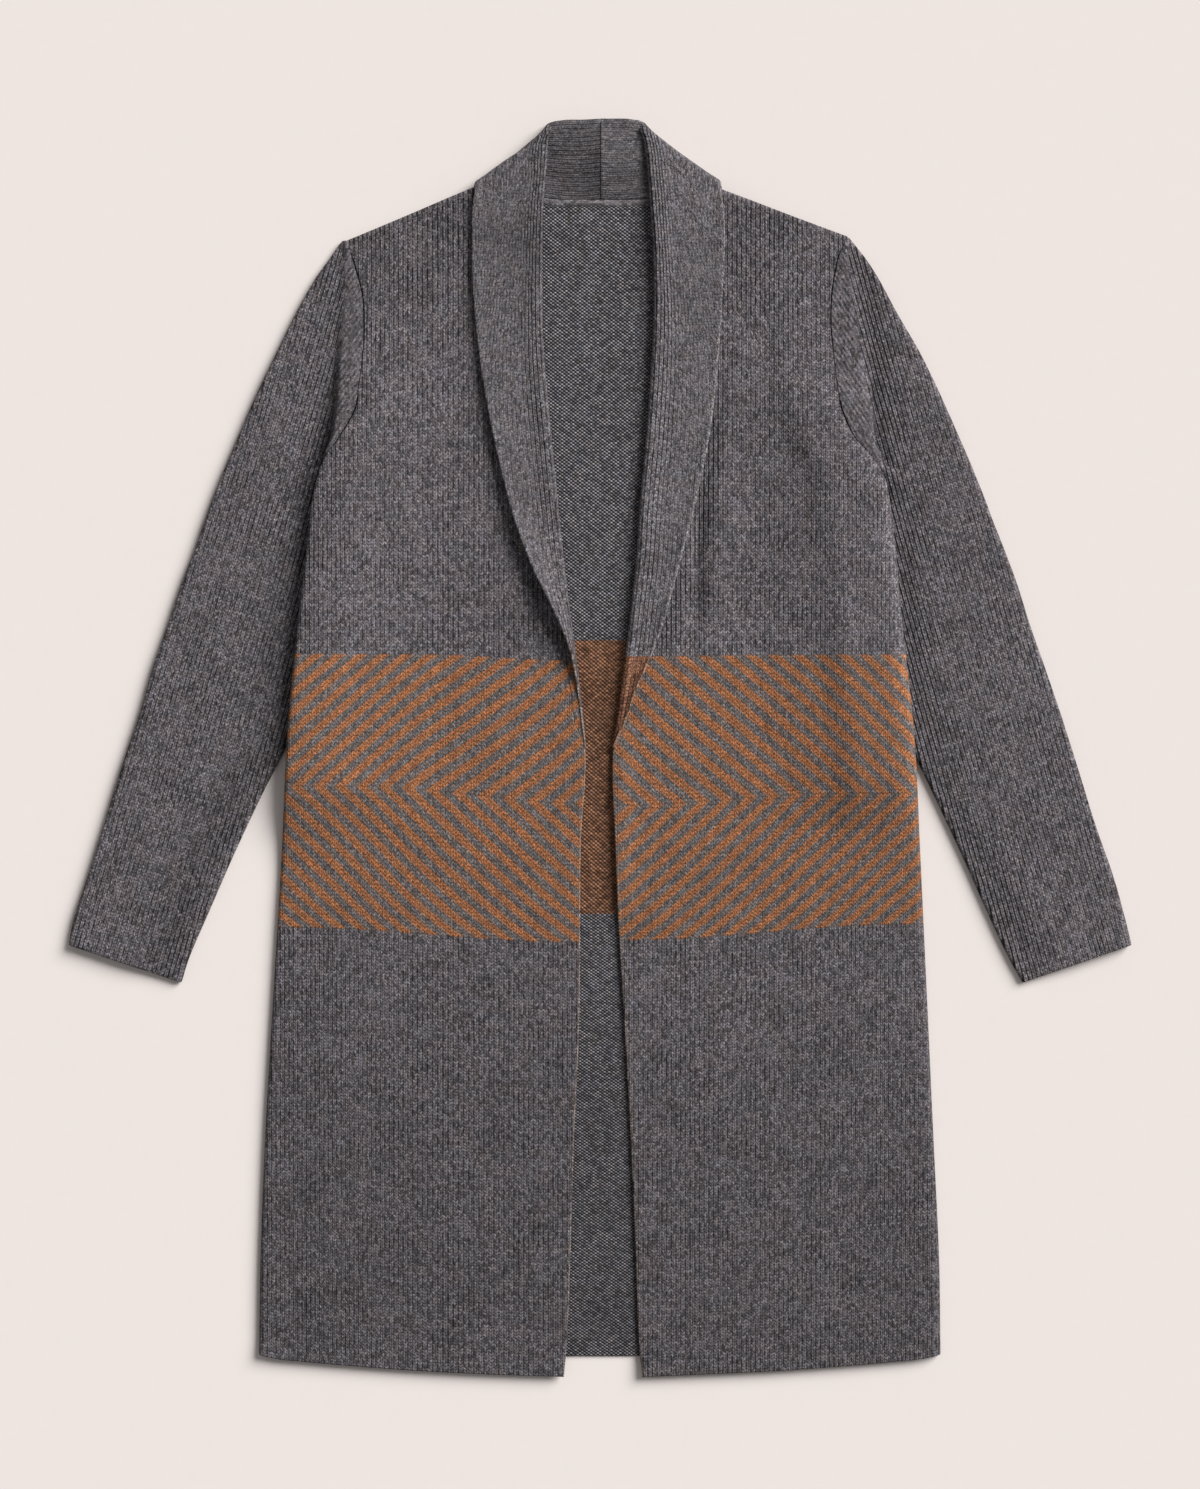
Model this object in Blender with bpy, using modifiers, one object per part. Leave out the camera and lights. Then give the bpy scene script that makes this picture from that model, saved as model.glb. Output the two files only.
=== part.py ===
"""A long open cardigan with a shawl collar, lying flat with its front side up.

Seven knitted pieces make it: the back, two fronts, two sleeves and two halves of the collar.
Each is a wall of cloth with its own thickness. The back lies lowest, the fronts lie on it, and
the inner part of each sleeve is tucked under the body. Each collar half is one strip, folded
along the roll line into a stand and a fall. At the back of the neck the fall lies under the
stand, and on the fronts it lies on top.

X runs across the garment, Y up towards the collar, Z away from the surface that it lies on.
Left is the side of negative X. All sizes are in metres.
"""

import math
from collections import namedtuple

import bmesh
import bpy
from mathutils import Vector

# Cloth, and how its layers lie on each other.
WALL = 0.0024
SEAM_GAP = 0.0004
LAYER = WALL + SEAM_GAP
FRONT_RISE = LAYER + 0.0010
FALL_LOFT = 0.0009
EDGE_ROLL = 0.0024
ARMHOLE_GAP = 0.0008
NECK_GAP = 0.0009
WELD_DISTANCE = 0.00005

# The body. A place is a distance from the centre line and a height along the garment.
Place = namedtuple("Place", "across y")
HEM_Y = -0.4735
BACK_HEM_Y = -0.4750
UNDERARM_Y = 0.2161
NECK_Y = 0.4274
NECK = {"left": Place(0.0686, 0.4500), "right": Place(0.0655, 0.4468)}
SHOULDER = {"left": Place(0.1989, 0.3962), "right": Place(0.1934, 0.3994)}

# The folds of the collar: the distance between stand and fall behind the neck, the radius of
# the fold on the fronts, and the outline of the fall where it wraps round the shoulder.
FALL_FOLD = 0.0036
FRONT_FOLD_RADIUS = 0.0022
COLLAR_TOP_Y = 0.4912
FALL_CENTRE_Y = 0.4165
COLLAR_CORNER = {"left": Place(0.0405, 0.4895), "right": Place(0.0343, 0.4895)}
FALL_CORNER = {"left": Place(0.1016, 0.4403), "right": Place(0.0979, 0.4415)}
CORNER_LENGTH = 0.006
CORNER_ANGLES = (-90.0, -60.0, -30.0, 0.0, 30.0, 60.0, 90.0)
BEHIND_NECK = (0.0, 0.35, 0.65, 0.84)
TOP_ROUNDING = 6

# The rows along the strip of the collar, as shares of the stand, of the fold and of the fall. The
# fall settles on the front within a share of its width, unless it leaves the fold at more than
# the upright turn, in radians.
STAND_SHARES = (1.0, 0.66, 0.33, 0.0)
FOLD_SHARES = (0.25, 0.5, 0.75, 1.0)
FALL_SHARES = (0.15, 0.36, 0.58, 0.8, 1.0)
FALL_SETTLED = 0.35
UPRIGHT_TURN = 0.9
TURN_TRIALS = 30

# The sleeves: the distance between the layers of a flattened one, its crown, and the length in
# which it settles from the height of the body to its own.
SLEEVE_FOLD = 0.0031
SLEEVE_CROWN = 0.0010
CROWN_FROM = 0.012
CROWN_TO = 0.060
SETTLE_LENGTH = 0.045
SETTLE_SHARE = 0.8
SLEEVE_SHARES = (0.12, 0.27, 0.44, 0.62, 0.80, 1.0)
FOLD_ANGLES = (0.0, 45.0, 90.0)

# How far the body is lifted where it lies on the sleeves and on the hidden part of the fall,
# and where that lift begins and ends.
SLEEVE_LIFT = 0.0061
LIFT_TOP = (0.205, 0.285)
LIFT_BOTTOM = (-0.075, -0.015)
LIFT_ACROSS = (0.50, 0.79)
FALL_LIFT_ALONG = (0.008, 0.052)
FALL_LIFT_ACROSS = (0.110, 0.170)

Edge = namedtuple("Edge", "y left right")
CapRow = namedtuple("CapRow", "outer_y outer_left outer_right seam_y")
SleeveRow = namedtuple("SleeveRow", "outer_y outer_left outer_right inner_y inner_left inner_right height")
CollarRow = namedtuple("CollarRow", "roll_y roll_left roll_right free_y free_left free_right "
                                    "seam_y seam_left seam_right rise_left rise_right")

# The side fold of the body, as distances from the centre line.
SIDE = [
    Edge(-0.4735, 0.2662, 0.2662),
    Edge(-0.4000, 0.2652, 0.2652),
    Edge(-0.2990, 0.2613, 0.2605),
    Edge(-0.1650, 0.2535, 0.2543),
    Edge(-0.0340, 0.2457, 0.2480),
    Edge(0.0195, 0.2426, 0.2445),
    Edge(0.1000, 0.2348, 0.2356),
    Edge(0.1630, 0.2270, 0.2300),
    Edge(0.1920, 0.2230, 0.2254),
    Edge(0.2161, 0.2129, 0.2192),
]

# The seam of the armhole.
ARMHOLE = [
    Edge(0.2161, 0.2129, 0.2192),
    Edge(0.2293, 0.2094, 0.2098),
    Edge(0.2426, 0.2028, 0.1981),
    Edge(0.2636, 0.1911, 0.1888),
    Edge(0.2824, 0.1880, 0.1849),
    Edge(0.3104, 0.1849, 0.1817),
    Edge(0.3299, 0.1845, 0.1802),
    Edge(0.3526, 0.1856, 0.1810),
    Edge(0.3713, 0.1903, 0.1849),
    Edge(0.3994, 0.1989, 0.1934),
]

# The front edge, below the collar.
FRONT_EDGE = [
    Edge(-0.4891, 0.0280, 0.0330),
    Edge(-0.4618, 0.0257, 0.0300),
    Edge(-0.4048, 0.0234, 0.0281),
    Edge(-0.3050, 0.0203, 0.0238),
    Edge(-0.2184, 0.0164, 0.0191),
    Edge(-0.1326, 0.0156, 0.0140),
    Edge(-0.0702, 0.0148, 0.0125),
    Edge(-0.0257, 0.0117, 0.0101),
    Edge(0.0085, 0.0117, 0.0115),
    Edge(0.0203, 0.0190, 0.0200),
]

# How far the hem of the fronts dips below its corner at the side, by the place across.
HEM_DIP = [
    Edge(0.0280, 0.0172, 0.0176),
    Edge(0.0780, 0.0156, 0.0154),
    Edge(0.1400, 0.0127, 0.0125),
    Edge(0.2030, 0.0080, 0.0078),
    Edge(0.2340, 0.0052, 0.0050),
    Edge(0.2500, 0.0036, 0.0034),
    Edge(0.2662, 0.0000, 0.0000),
]

# The collar on the fronts, from the shoulder to its lower end: the roll line, the free edge of
# the fall, the seam under it, and how far the free edge stands off the front.
COLLAR = [
    CollarRow(0.4742, 0.0406, 0.0343, 0.4165, 0.0998, 0.0967, 0.4384, 0.0679, 0.0647, 0.0005, 0.0005),
    CollarRow(0.4547, 0.0417, 0.0367, 0.3947, 0.0998, 0.0975, 0.4212, 0.0671, 0.0640, 0.0010, 0.0010),
    CollarRow(0.4274, 0.0441, 0.0390, 0.3689, 0.0998, 0.0963, 0.3978, 0.0655, 0.0632, 0.0010, 0.0010),
    CollarRow(0.3923, 0.0452, 0.0413, 0.3401, 0.0979, 0.0948, 0.3689, 0.0632, 0.0616, 0.0010, 0.0010),
    CollarRow(0.3494, 0.0452, 0.0421, 0.3104, 0.0948, 0.0928, 0.3354, 0.0601, 0.0585, 0.0015, 0.0010),
    CollarRow(0.3026, 0.0433, 0.0402, 0.2753, 0.0897, 0.0897, 0.2948, 0.0546, 0.0538, 0.0025, 0.0015),
    CollarRow(0.2480, 0.0382, 0.0363, 0.2324, 0.0811, 0.0835, 0.2449, 0.0484, 0.0476, 0.0040, 0.0020),
    CollarRow(0.1934, 0.0328, 0.0312, 0.1856, 0.0694, 0.0733, 0.1919, 0.0413, 0.0413, 0.0065, 0.0025),
    CollarRow(0.1466, 0.0281, 0.0281, 0.1443, 0.0546, 0.0624, 0.1466, 0.0359, 0.0363, 0.0100, 0.0030),
    CollarRow(0.1076, 0.0234, 0.0238, 0.1061, 0.0359, 0.0523, 0.1076, 0.0315, 0.0320, 0.0145, 0.0035),
    CollarRow(0.0764, 0.0191, 0.0203, 0.0764, 0.0234, 0.0421, 0.0764, 0.0272, 0.0284, 0.0165, 0.0040),
    CollarRow(0.0452, 0.0148, 0.0164, 0.0452, 0.0172, 0.0273, 0.0452, 0.0230, 0.0246, 0.0110, 0.0050),
    CollarRow(0.0203, 0.0121, 0.0133, 0.0203, 0.0140, 0.0170, 0.0203, 0.0200, 0.0212, 0.0060, 0.0050),
]

# The cap of the sleeve from the shoulder down: its outer fold, and where each row meets the seam
# of the armhole.
SLEEVE_CAP = [
    CapRow(0.3930, 0.2020, 0.1965, 0.3880),
    CapRow(0.3806, 0.2114, 0.2067, 0.3720),
    CapRow(0.3650, 0.2231, 0.2176, 0.3550),
    CapRow(0.3393, 0.2375, 0.2321, 0.3300),
    CapRow(0.3104, 0.2516, 0.2488, 0.3050),
    CapRow(0.2850, 0.2640, 0.2614, 0.2824),
    CapRow(0.2600, 0.2752, 0.2728, 0.2600),
    CapRow(0.2400, 0.2836, 0.2815, 0.2426),
    CapRow(0.2260, 0.2896, 0.2877, 0.2293),
]

# The sleeve from the underarm to the cuff: its outer fold, the fold at the underarm seam, and the
# height of that fold's middle.
SLEEVE = [
    SleeveRow(0.2110, 0.2960, 0.2938, 0.2120, 0.2166, 0.2210, 0.0080),
    SleeveRow(0.1950, 0.3023, 0.3003, 0.1900, 0.2256, 0.2280, 0.0034),
    SleeveRow(0.1771, 0.3089, 0.3069, 0.1661, 0.2150, 0.2165, 0.0028),
    SleeveRow(0.1544, 0.3167, 0.3159, 0.1388, 0.2020, 0.2035, 0.0028),
    SleeveRow(0.1271, 0.3272, 0.3260, 0.1115, 0.1990, 0.2000, 0.0028),
    SleeveRow(0.0959, 0.3377, 0.3358, 0.0803, 0.2085, 0.2080, 0.0028),
    SleeveRow(0.0624, 0.3494, 0.3475, 0.0452, 0.2246, 0.2231, 0.0028),
    SleeveRow(0.0257, 0.3600, 0.3600, 0.0078, 0.2414, 0.2395, 0.0028),
    SleeveRow(-0.0172, 0.3744, 0.3736, -0.0367, 0.2640, 0.2605, 0.0028),
    SleeveRow(-0.0601, 0.3877, 0.3869, -0.0835, 0.2859, 0.2824, 0.0028),
    SleeveRow(-0.0991, 0.3998, 0.4005, -0.1264, 0.3046, 0.3015, 0.0028),
    SleeveRow(-0.1326, 0.4107, 0.4099, -0.1615, 0.3198, 0.3179, 0.0028),
    SleeveRow(-0.1537, 0.4150, 0.4150, -0.1833, 0.3268, 0.3299, 0.0028),
]

# Where the rows of the body cross its side edge, and its columns as shares of the half width.
BODY_ROWS = [-0.475, -0.43, -0.37, -0.31, -0.25, -0.19, -0.13, -0.075, -0.045, -0.015, 0.0085,
             0.0203, 0.0452, 0.0764, 0.1076, 0.1466, 0.175, 0.20, UNDERARM_Y, 0.2293, 0.2426, 0.26,
             0.2824, 0.305, 0.33, 0.355, 0.372, 0.388]
HEM_ROWS = 6
BACK_COLUMNS = [0.0, 0.12, 0.23, 0.345, 0.42, 0.50, 0.60, 0.70, 0.79, 0.86, 0.93, 1.0]
FRONT_COLUMNS = [0.0, 0.03, 0.12, 0.24, 0.36, 0.48, 0.58, 0.68, 0.77, 0.86, 0.94, 1.0]
TILT_FROM_Y = 0.16
SEWN_STEPS = (0.0030, 0.0020, 0.0010, 0.0)
CLOTH_ROUGHNESS = 0.95

SIGN = {"left": -1.0, "right": 1.0}
UP = Vector((0.0, 0.0, 1.0))


def smooth(start, end, value):
    """0 before start, 1 after end, and a soft step between them."""
    share = min(max((value - start) / (end - start), 0.0), 1.0)
    return share * share * (3.0 - 2.0 * share)


def read(table, side, y):
    """The edge's distance from the centre line at y, on a smooth curve through the rows."""
    rows = sorted(table, key=lambda row: row.y)
    y = min(max(y, rows[0].y), rows[-1].y)
    index = max(i for i, row in enumerate(rows[:-1]) if row.y <= y)
    below, above = rows[index], rows[index + 1]

    def slope(i):
        first, last = rows[max(i - 1, 0)], rows[min(i + 1, len(rows) - 1)]
        return (getattr(last, side) - getattr(first, side)) / (last.y - first.y)

    span = above.y - below.y
    t = (y - below.y) / span
    start, end = getattr(below, side), getattr(above, side)
    return ((2 * t**3 - 3 * t**2 + 1) * start + (t**3 - 2 * t**2 + t) * span * slope(index)
            + (3 * t**2 - 2 * t**3) * end + (t**3 - t**2) * span * slope(index + 1))


def outer_edge(side, y):
    """The side fold below the underarm, and the seam of the armhole above it."""
    return read(SIDE if y < UNDERARM_Y else ARMHOLE, side, y)


def inner_edge(side, y):
    """The inner edge of a front: its front edge, then the seam of the collar."""
    if y < COLLAR[-1].seam_y:
        return read(FRONT_EDGE, side, y)
    seam = [Edge(row.seam_y, row.seam_left, row.seam_right) for row in COLLAR]
    seam.append(Edge(NECK[side].y, NECK[side].across, NECK[side].across))
    return read(seam, side, y) + NECK_GAP / 2


def top_edge(side, across):
    """Y of the back's upper edge: the shoulder seam, and the dip of the neck between them."""
    neck, tip = NECK[side], SHOULDER[side]
    if across >= neck.across:
        return neck.y + (tip.y - neck.y) * (across - neck.across) / (tip.across - neck.across)
    return NECK_Y + (neck.y - NECK_Y) * (across / neck.across) ** 2


def back_height(x, y):
    """The height of the middle of the back's wall, over the sleeves and the hidden fall."""
    side = "left" if x < 0 else "right"
    share = abs(x) / outer_edge(side, y)
    along = smooth(*LIFT_BOTTOM, y) * (1.0 - smooth(*LIFT_TOP, y))
    over_sleeve = SLEEVE_LIFT * along * smooth(*LIFT_ACROSS, share)
    corner = FALL_CORNER[side]
    fall_edge = FALL_CENTRE_Y + (corner.y - FALL_CENTRE_Y) * min(abs(x) / corner.across, 1.0) ** 2
    over_fall = FALL_FOLD * (1.0 - smooth(*FALL_LIFT_ALONG, fall_edge - y))
    over_fall *= 1.0 - smooth(*FALL_LIFT_ACROSS, abs(x))
    return WALL / 2 + max(over_sleeve, over_fall)


def front_height(x, y):
    return back_height(x, y) + FRONT_RISE


def cloth_material(name, colour):
    material = bpy.data.materials.new(name)
    material.use_nodes = True
    shader = material.node_tree.nodes["Principled BSDF"]
    shader.inputs["Base Color"].default_value = (*colour, 1.0)
    shader.inputs["Roughness"].default_value = CLOTH_ROUGHNESS
    shader.inputs["Metallic"].default_value = 0.0
    return material


def knitted_piece(name, sections, colour, closed_from=None):
    """A wall of cloth through sections of points. From the row closed_from on, each section's
    first and last points meet, and they are joined into a tube."""
    mesh = bpy.data.meshes.new(name)
    form = bmesh.new()
    grid = [[form.verts.new(point) for point in section] for section in sections]
    for row, following in zip(grid, grid[1:]):
        for i in range(len(row) - 1):
            form.faces.new((row[i], row[i + 1], following[i + 1], following[i]))
    if closed_from is not None:
        ends = [row[end] for row in grid[closed_from:] for end in (0, -1)]
        bmesh.ops.remove_doubles(form, verts=ends, dist=WELD_DISTANCE)
    form.to_mesh(mesh)
    form.free()
    piece = bpy.data.objects.new(name, mesh)
    cardigan.objects.link(piece)
    mesh.materials.append(cloth_material(name + "_cloth", colour))
    wall = piece.modifiers.new("wall", "SOLIDIFY")
    wall.thickness = WALL
    wall.offset = 0.0
    return piece


def build_back():
    """One panel. Its edge stays inside the rolled edge of the fronts, and meets the sleeves
    along the armholes. The last row is the shoulder and neck edge."""
    sections = []
    for number, row_y in enumerate(BODY_ROWS + ["top"]):
        section = []
        for side in SIGN:
            tip = SHOULDER[side]
            y = tip.y if row_y == "top" else row_y
            inset = LAYER if y <= UNDERARM_Y else ARMHOLE_GAP / 2
            half = outer_edge(side, y) - inset
            tilt = smooth(TILT_FROM_Y, tip.y, y)
            columns = reversed(BACK_COLUMNS) if side == "left" else BACK_COLUMNS[1:]
            for share in columns:
                across = share * half
                point_y = y + tilt * (top_edge(side, share * tip.across) - tip.y)
                if row_y == "top":
                    in_neck = across < NECK[side].across - NECK_GAP
                    point_y -= NECK_GAP if in_neck else LAYER
                elif number == 0:
                    point_y = BACK_HEM_Y
                x = SIGN[side] * across
                section.append(Vector((x, point_y, back_height(x, point_y))))
        sections.append(section)
    return knitted_piece("back_panel", sections, (0.10, 0.10, 0.105))


def rolled_steps():
    """Steps over the rolled edge of a front, as pairs of inset and drop: round the edge of the
    back, then down to it."""
    steps = []
    for angle in FOLD_ANGLES:
        turn = math.radians(angle)
        inset = WALL / 2 + EDGE_ROLL * (1.0 - math.sin(turn))
        steps.append((inset, EDGE_ROLL * (1.0 - math.cos(turn))))
    steps.append((WALL / 2, FRONT_RISE))
    return steps


def sewn_steps():
    """The same number of steps where the edge is level and sewn to a sleeve."""
    return [(ARMHOLE_GAP / 2 + inset, 0.0) for inset in SEWN_STEPS]


def build_front(side):
    """One panel from the hem to the shoulder. It lies on the back, its side and shoulder edges
    roll over the back's, and its inner edge carries the collar."""
    tip, neck = SHOULDER[side], NECK[side]
    hem_rows = BODY_ROWS[:HEM_ROWS]
    rows = [(y, 0.0, 0.0) for y in BODY_ROWS]
    rows += [(tip.y, inset, drop) for inset, drop in rolled_steps()]
    sections = []
    for number, (y, row_inset, row_drop) in enumerate(rows):
        inner_y = y + (neck.y - tip.y) * smooth(TILT_FROM_Y, tip.y, y)
        outer = outer_edge(side, y)
        inner = inner_edge(side, inner_y)
        steps = rolled_steps() if y < UNDERARM_Y else sewn_steps()
        last_level = outer - steps[0][0]
        section = [(inner + share * (last_level - inner), 0.0) for share in FRONT_COLUMNS]
        section += [(outer - inset, drop) for inset, drop in steps[1:]]
        points = []
        for across, drop in section:
            reach = (across - inner) / (outer - inner)
            point_y = inner_y + (y - inner_y) * reach - row_inset
            if number == 0:
                point_y = HEM_Y - read(HEM_DIP, side, across)
            elif number < HEM_ROWS:
                near_hem = (hem_rows[-1] - y) / (hem_rows[-1] - hem_rows[0])
                point_y -= near_hem * read(HEM_DIP, side, across)
            x = SIGN[side] * across
            points.append(Vector((x, point_y, front_height(x, point_y) - max(drop, row_drop))))
        sections.append(points)
    if side == "right":
        sections = [list(reversed(points)) for points in sections]
    return knitted_piece("front_" + side, sections, (0.105, 0.10, 0.102))


def sleeve_section(side, row):
    """One ring of points round the flattened sleeve: over the upper layer from the inner end to
    the outer fold, and back along the lower layer."""
    sewn = isinstance(row, CapRow)
    if sewn:
        inner = Vector((SIGN[side] * outer_edge(side, row.seam_y), row.seam_y))
    else:
        inner = Vector((SIGN[side] * getattr(row, "inner_" + side), row.inner_y))
    outer = Vector((SIGN[side] * getattr(row, "outer_" + side), row.outer_y))
    tucked = max(0.0, outer_edge(side, inner.y) - abs(inner.x))
    across = (outer - inner).normalized()
    inner += across * (ARMHOLE_GAP / 2 if sewn else WALL / 2)
    outer -= across * (WALL / 2)
    width = (outer - inner).length
    high_end = front_height(*inner) if sewn else row.height + SLEEVE_FOLD / 2
    low_end = back_height(*inner) if sewn else row.height - SLEEVE_FOLD / 2
    settle = min(SETTLE_LENGTH, SETTLE_SHARE * width)

    def layers(distance):
        """The heights of the upper and the lower layer, crowned clear of the body."""
        clear = 1.0 if sewn else smooth(tucked + CROWN_FROM, tucked + CROWN_TO, distance)
        upper = WALL / 2 + SLEEVE_FOLD + SLEEVE_CROWN * clear
        held = 1.0 - smooth(0.0, settle, distance)
        return upper + held * (high_end - upper), WALL / 2 + held * (low_end - WALL / 2)

    high, low = [], []
    inner_fold = SLEEVE_FOLD / 2
    for angle in FOLD_ANGLES:
        turn = math.radians(angle)
        distance = inner_fold * (1.0 - math.cos(turn))
        pinch = 0.0 if sewn else inner_fold * (1.0 - math.sin(turn))
        high.append((distance, high_end - pinch))
        low.append((distance, low_end + pinch))
    upper, lower = layers(width)
    outer_fold = (upper - lower) / 2
    for share in SLEEVE_SHARES:
        distance = inner_fold + share * (width - inner_fold - outer_fold)
        upper, lower = layers(distance)
        high.append((distance, upper))
        low.append((distance, lower))
    middle = (upper + lower) / 2
    bend = outer_fold * math.sqrt(0.5)
    distance = width - outer_fold + bend
    high.append((distance, middle + bend))
    low.append((distance, middle - bend))
    ring = high + [(width, middle)] + list(reversed(low))
    return [Vector((*(inner + across * distance), height)) for distance, height in ring]


def build_sleeve(side):
    """A flattened tube, open at the cuff. Above the underarm it is open towards the body, where
    its upper layer is sewn to the front and its lower layer to the back."""
    sections = [sleeve_section(side, row) for row in SLEEVE_CAP + SLEEVE]
    if side == "right":
        sections = [list(reversed(section)) for section in sections]
    return knitted_piece("sleeve_" + side, sections, (0.10, 0.098, 0.102), len(SLEEVE_CAP))


def fall_turn(radius, reach, climb):
    """The angle at which the fall leaves the fold: 0 lying flat, a quarter turn standing up.

    reach and climb lead from the middle of the fold to the free edge."""
    angle = 0.0
    for _ in range(TURN_TRIALS):
        angle = math.atan2(climb - radius * math.cos(angle), reach + radius * math.sin(angle))
    return max(angle, 0.0)


def collar_section(roll, free, seam, facing, on_front, rise):
    """One section of the collar: the stand from the neck seam, the fold, and the fall.

    roll is the outside of the fold. facing leads from the stand to the fall: down behind the
    neck, outwards at the shoulder and up on the fronts. on_front grows from 0 to 1 on the way."""
    to_free, to_seam = (free - roll).normalized(), (seam - roll).normalized()
    radius = (FALL_FOLD / 2) * (1.0 - on_front) + FRONT_FOLD_RADIUS * on_front
    stand_out = FRONT_RISE / 2
    fall_out = stand_out + FALL_FOLD * (1.0 - on_front) + (LAYER + FALL_LOFT) * on_front
    middle_out = stand_out + radius
    axis = roll + to_free * (radius + WALL / 2)
    stand_length = (seam - axis).dot(to_seam)
    reach = (free - axis).dot(to_free)
    turned = fall_turn(radius, reach, fall_out + rise - middle_out)
    upright = min(turned / UPRIGHT_TURN, 1.0)

    def place(flat, out):
        height = back_height(flat.x, flat.y) + FRONT_RISE / 2
        return Vector((flat.x, flat.y, height)) + facing * out

    points = []
    for share in STAND_SHARES:
        points.append(place(axis + to_seam * (share * stand_length), stand_out))
    for share in FOLD_SHARES:
        turn = share * (math.pi - turned)
        points.append(place(axis - to_free * (radius * math.sin(turn)),
                            middle_out - radius * math.cos(turn)))
    start_out = middle_out + radius * math.cos(turned)
    start = -radius * math.sin(turned)
    for share in FALL_SHARES:
        straight = start_out + (fall_out + rise - start_out) * share
        settled = smooth(0.0, FALL_SETTLED, share)
        lying = start_out + (fall_out - start_out) * settled + rise * share * share
        out = upright * straight + (1.0 - upright) * lying
        points.append(place(axis + to_free * (start + (reach - start) * share), out))
    return points


def build_collar(side):
    """One half of the collar, from the seam at the centre of the back neck, round the shoulder
    and down the front to where it runs out."""
    mirror = Vector((SIGN[side], 1.0, 1.0))
    corner = Vector((COLLAR_CORNER[side].across, COLLAR_CORNER[side].y, 0.0))
    fall_corner = Vector((FALL_CORNER[side].across, FALL_CORNER[side].y, 0.0))
    neck = Vector((NECK[side].across, NECK[side].y, 0.0))
    neck += (corner - neck).normalized() * NECK_GAP * 2
    outwards = Vector((corner.y - fall_corner.y, fall_corner.x - corner.x, 0.0)).normalized()
    silhouette = outwards * (FRONT_RISE / 2 + FALL_FOLD + WALL / 2)
    corner -= silhouette
    fall_corner -= silhouette
    first_roll = Vector((getattr(COLLAR[0], "roll_" + side), COLLAR[0].roll_y, 0.0))
    sections = []

    def add(roll, free, seam, facing, on_front, rise):
        flat = [point * mirror for point in (roll, free, seam)]
        sections.append(collar_section(*flat, facing * mirror, on_front, rise))

    for share in BEHIND_NECK:
        centre = SEAM_GAP / 2
        roll = Vector((max(share * corner.x, centre),
                       COLLAR_TOP_Y + (corner.y - COLLAR_TOP_Y) * share**TOP_ROUNDING, 0.0))
        free = Vector((max(share * fall_corner.x, centre),
                       FALL_CENTRE_Y + (fall_corner.y - FALL_CENTRE_Y) * share**2, 0.0))
        seam_x = max(share * neck.x, centre)
        seam = Vector((seam_x, top_edge(side, seam_x) + NECK_GAP / 2, 0.0))
        add(roll, free, seam, -UP, 0.0, 0.0)
    for angle in CORNER_ANGLES:
        turn = math.radians(angle)
        facing = outwards * math.cos(turn) + UP * math.sin(turn)
        roll = corner + (first_roll - corner).normalized() * (CORNER_LENGTH * angle / 180.0)
        add(roll, fall_corner, neck, facing, (angle + 90.0) / 180.0, 0.0)
    for row in COLLAR:
        roll = Vector((getattr(row, "roll_" + side), row.roll_y, 0.0))
        free = Vector((getattr(row, "free_" + side), row.free_y, 0.0))
        seam = Vector((getattr(row, "seam_" + side) - NECK_GAP / 2, row.seam_y, 0.0))
        add(roll, free, seam, UP, 1.0, getattr(row, "rise_" + side))
    if side == "right":
        sections = [list(reversed(points)) for points in sections]
    return knitted_piece("collar_" + side, sections, (0.125, 0.115, 0.12))


for leftover in list(bpy.data.objects):
    bpy.data.objects.remove(leftover, do_unlink=True)
cardigan = bpy.data.collections.new("shawl_collar_cardigan")
bpy.context.scene.collection.children.link(cardigan)
build_back()
for each_side in SIGN:
    build_front(each_side)
    build_sleeve(each_side)
    build_collar(each_side)
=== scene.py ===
"""A long open cardigan with a shawl collar, laid flat on a pale surface with its front side up.

The pieces follow in the order in which they lie on each other: the back, the sleeves, the fronts
and the two halves of the collar. Left is the side of negative X. All sizes are in metres.
"""

import math
from collections import namedtuple

import bpy
import numpy as np
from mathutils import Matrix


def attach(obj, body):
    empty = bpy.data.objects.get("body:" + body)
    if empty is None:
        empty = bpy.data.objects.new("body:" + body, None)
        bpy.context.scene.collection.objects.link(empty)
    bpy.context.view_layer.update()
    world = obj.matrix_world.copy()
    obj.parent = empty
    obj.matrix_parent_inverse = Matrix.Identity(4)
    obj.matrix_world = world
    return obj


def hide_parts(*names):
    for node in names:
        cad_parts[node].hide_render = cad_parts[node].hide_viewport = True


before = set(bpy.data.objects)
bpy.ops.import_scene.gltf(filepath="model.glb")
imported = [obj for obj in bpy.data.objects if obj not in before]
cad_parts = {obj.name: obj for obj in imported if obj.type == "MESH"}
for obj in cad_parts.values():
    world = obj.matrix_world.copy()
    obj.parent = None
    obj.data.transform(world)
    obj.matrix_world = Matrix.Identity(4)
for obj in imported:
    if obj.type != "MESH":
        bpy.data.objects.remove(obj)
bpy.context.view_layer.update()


# ---------------------------------------------------------------------------------------------
# The surface under the garment, the camera over it and the light.
# A smooth sheet of cream paper, a large soft lamp high on the upper right and a little light
# from all round.

VIEW_CENTRE = (0.0, 0.0027)
VIEW_HEIGHT = 1.1614
VIEW_DISTANCE = 3.2
VIEW_LEVEL = 0.007
SENSOR = 24.0
PAPER = (0.860, 0.787, 0.750)
PAPER_SHADES = (0.985, 1.015)
PAPER_FIBRES = (70.0, 4.0, 0.6)
PAPER_SIZE = 9.0
PAPER_Z = -0.0002
LAMP_DIRECTION = (0.84, 0.66, 0.76)
LAMP_STRENGTH = 4.08
LAMP_SPREAD = math.radians(38.0)
SKY_STRENGTH = 0.24


def opaque(colour, shade=1.0):
    """A colour as the nodes take it, with nothing see-through."""
    return tuple(shade * part for part in colour) + (1.0,)


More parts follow.
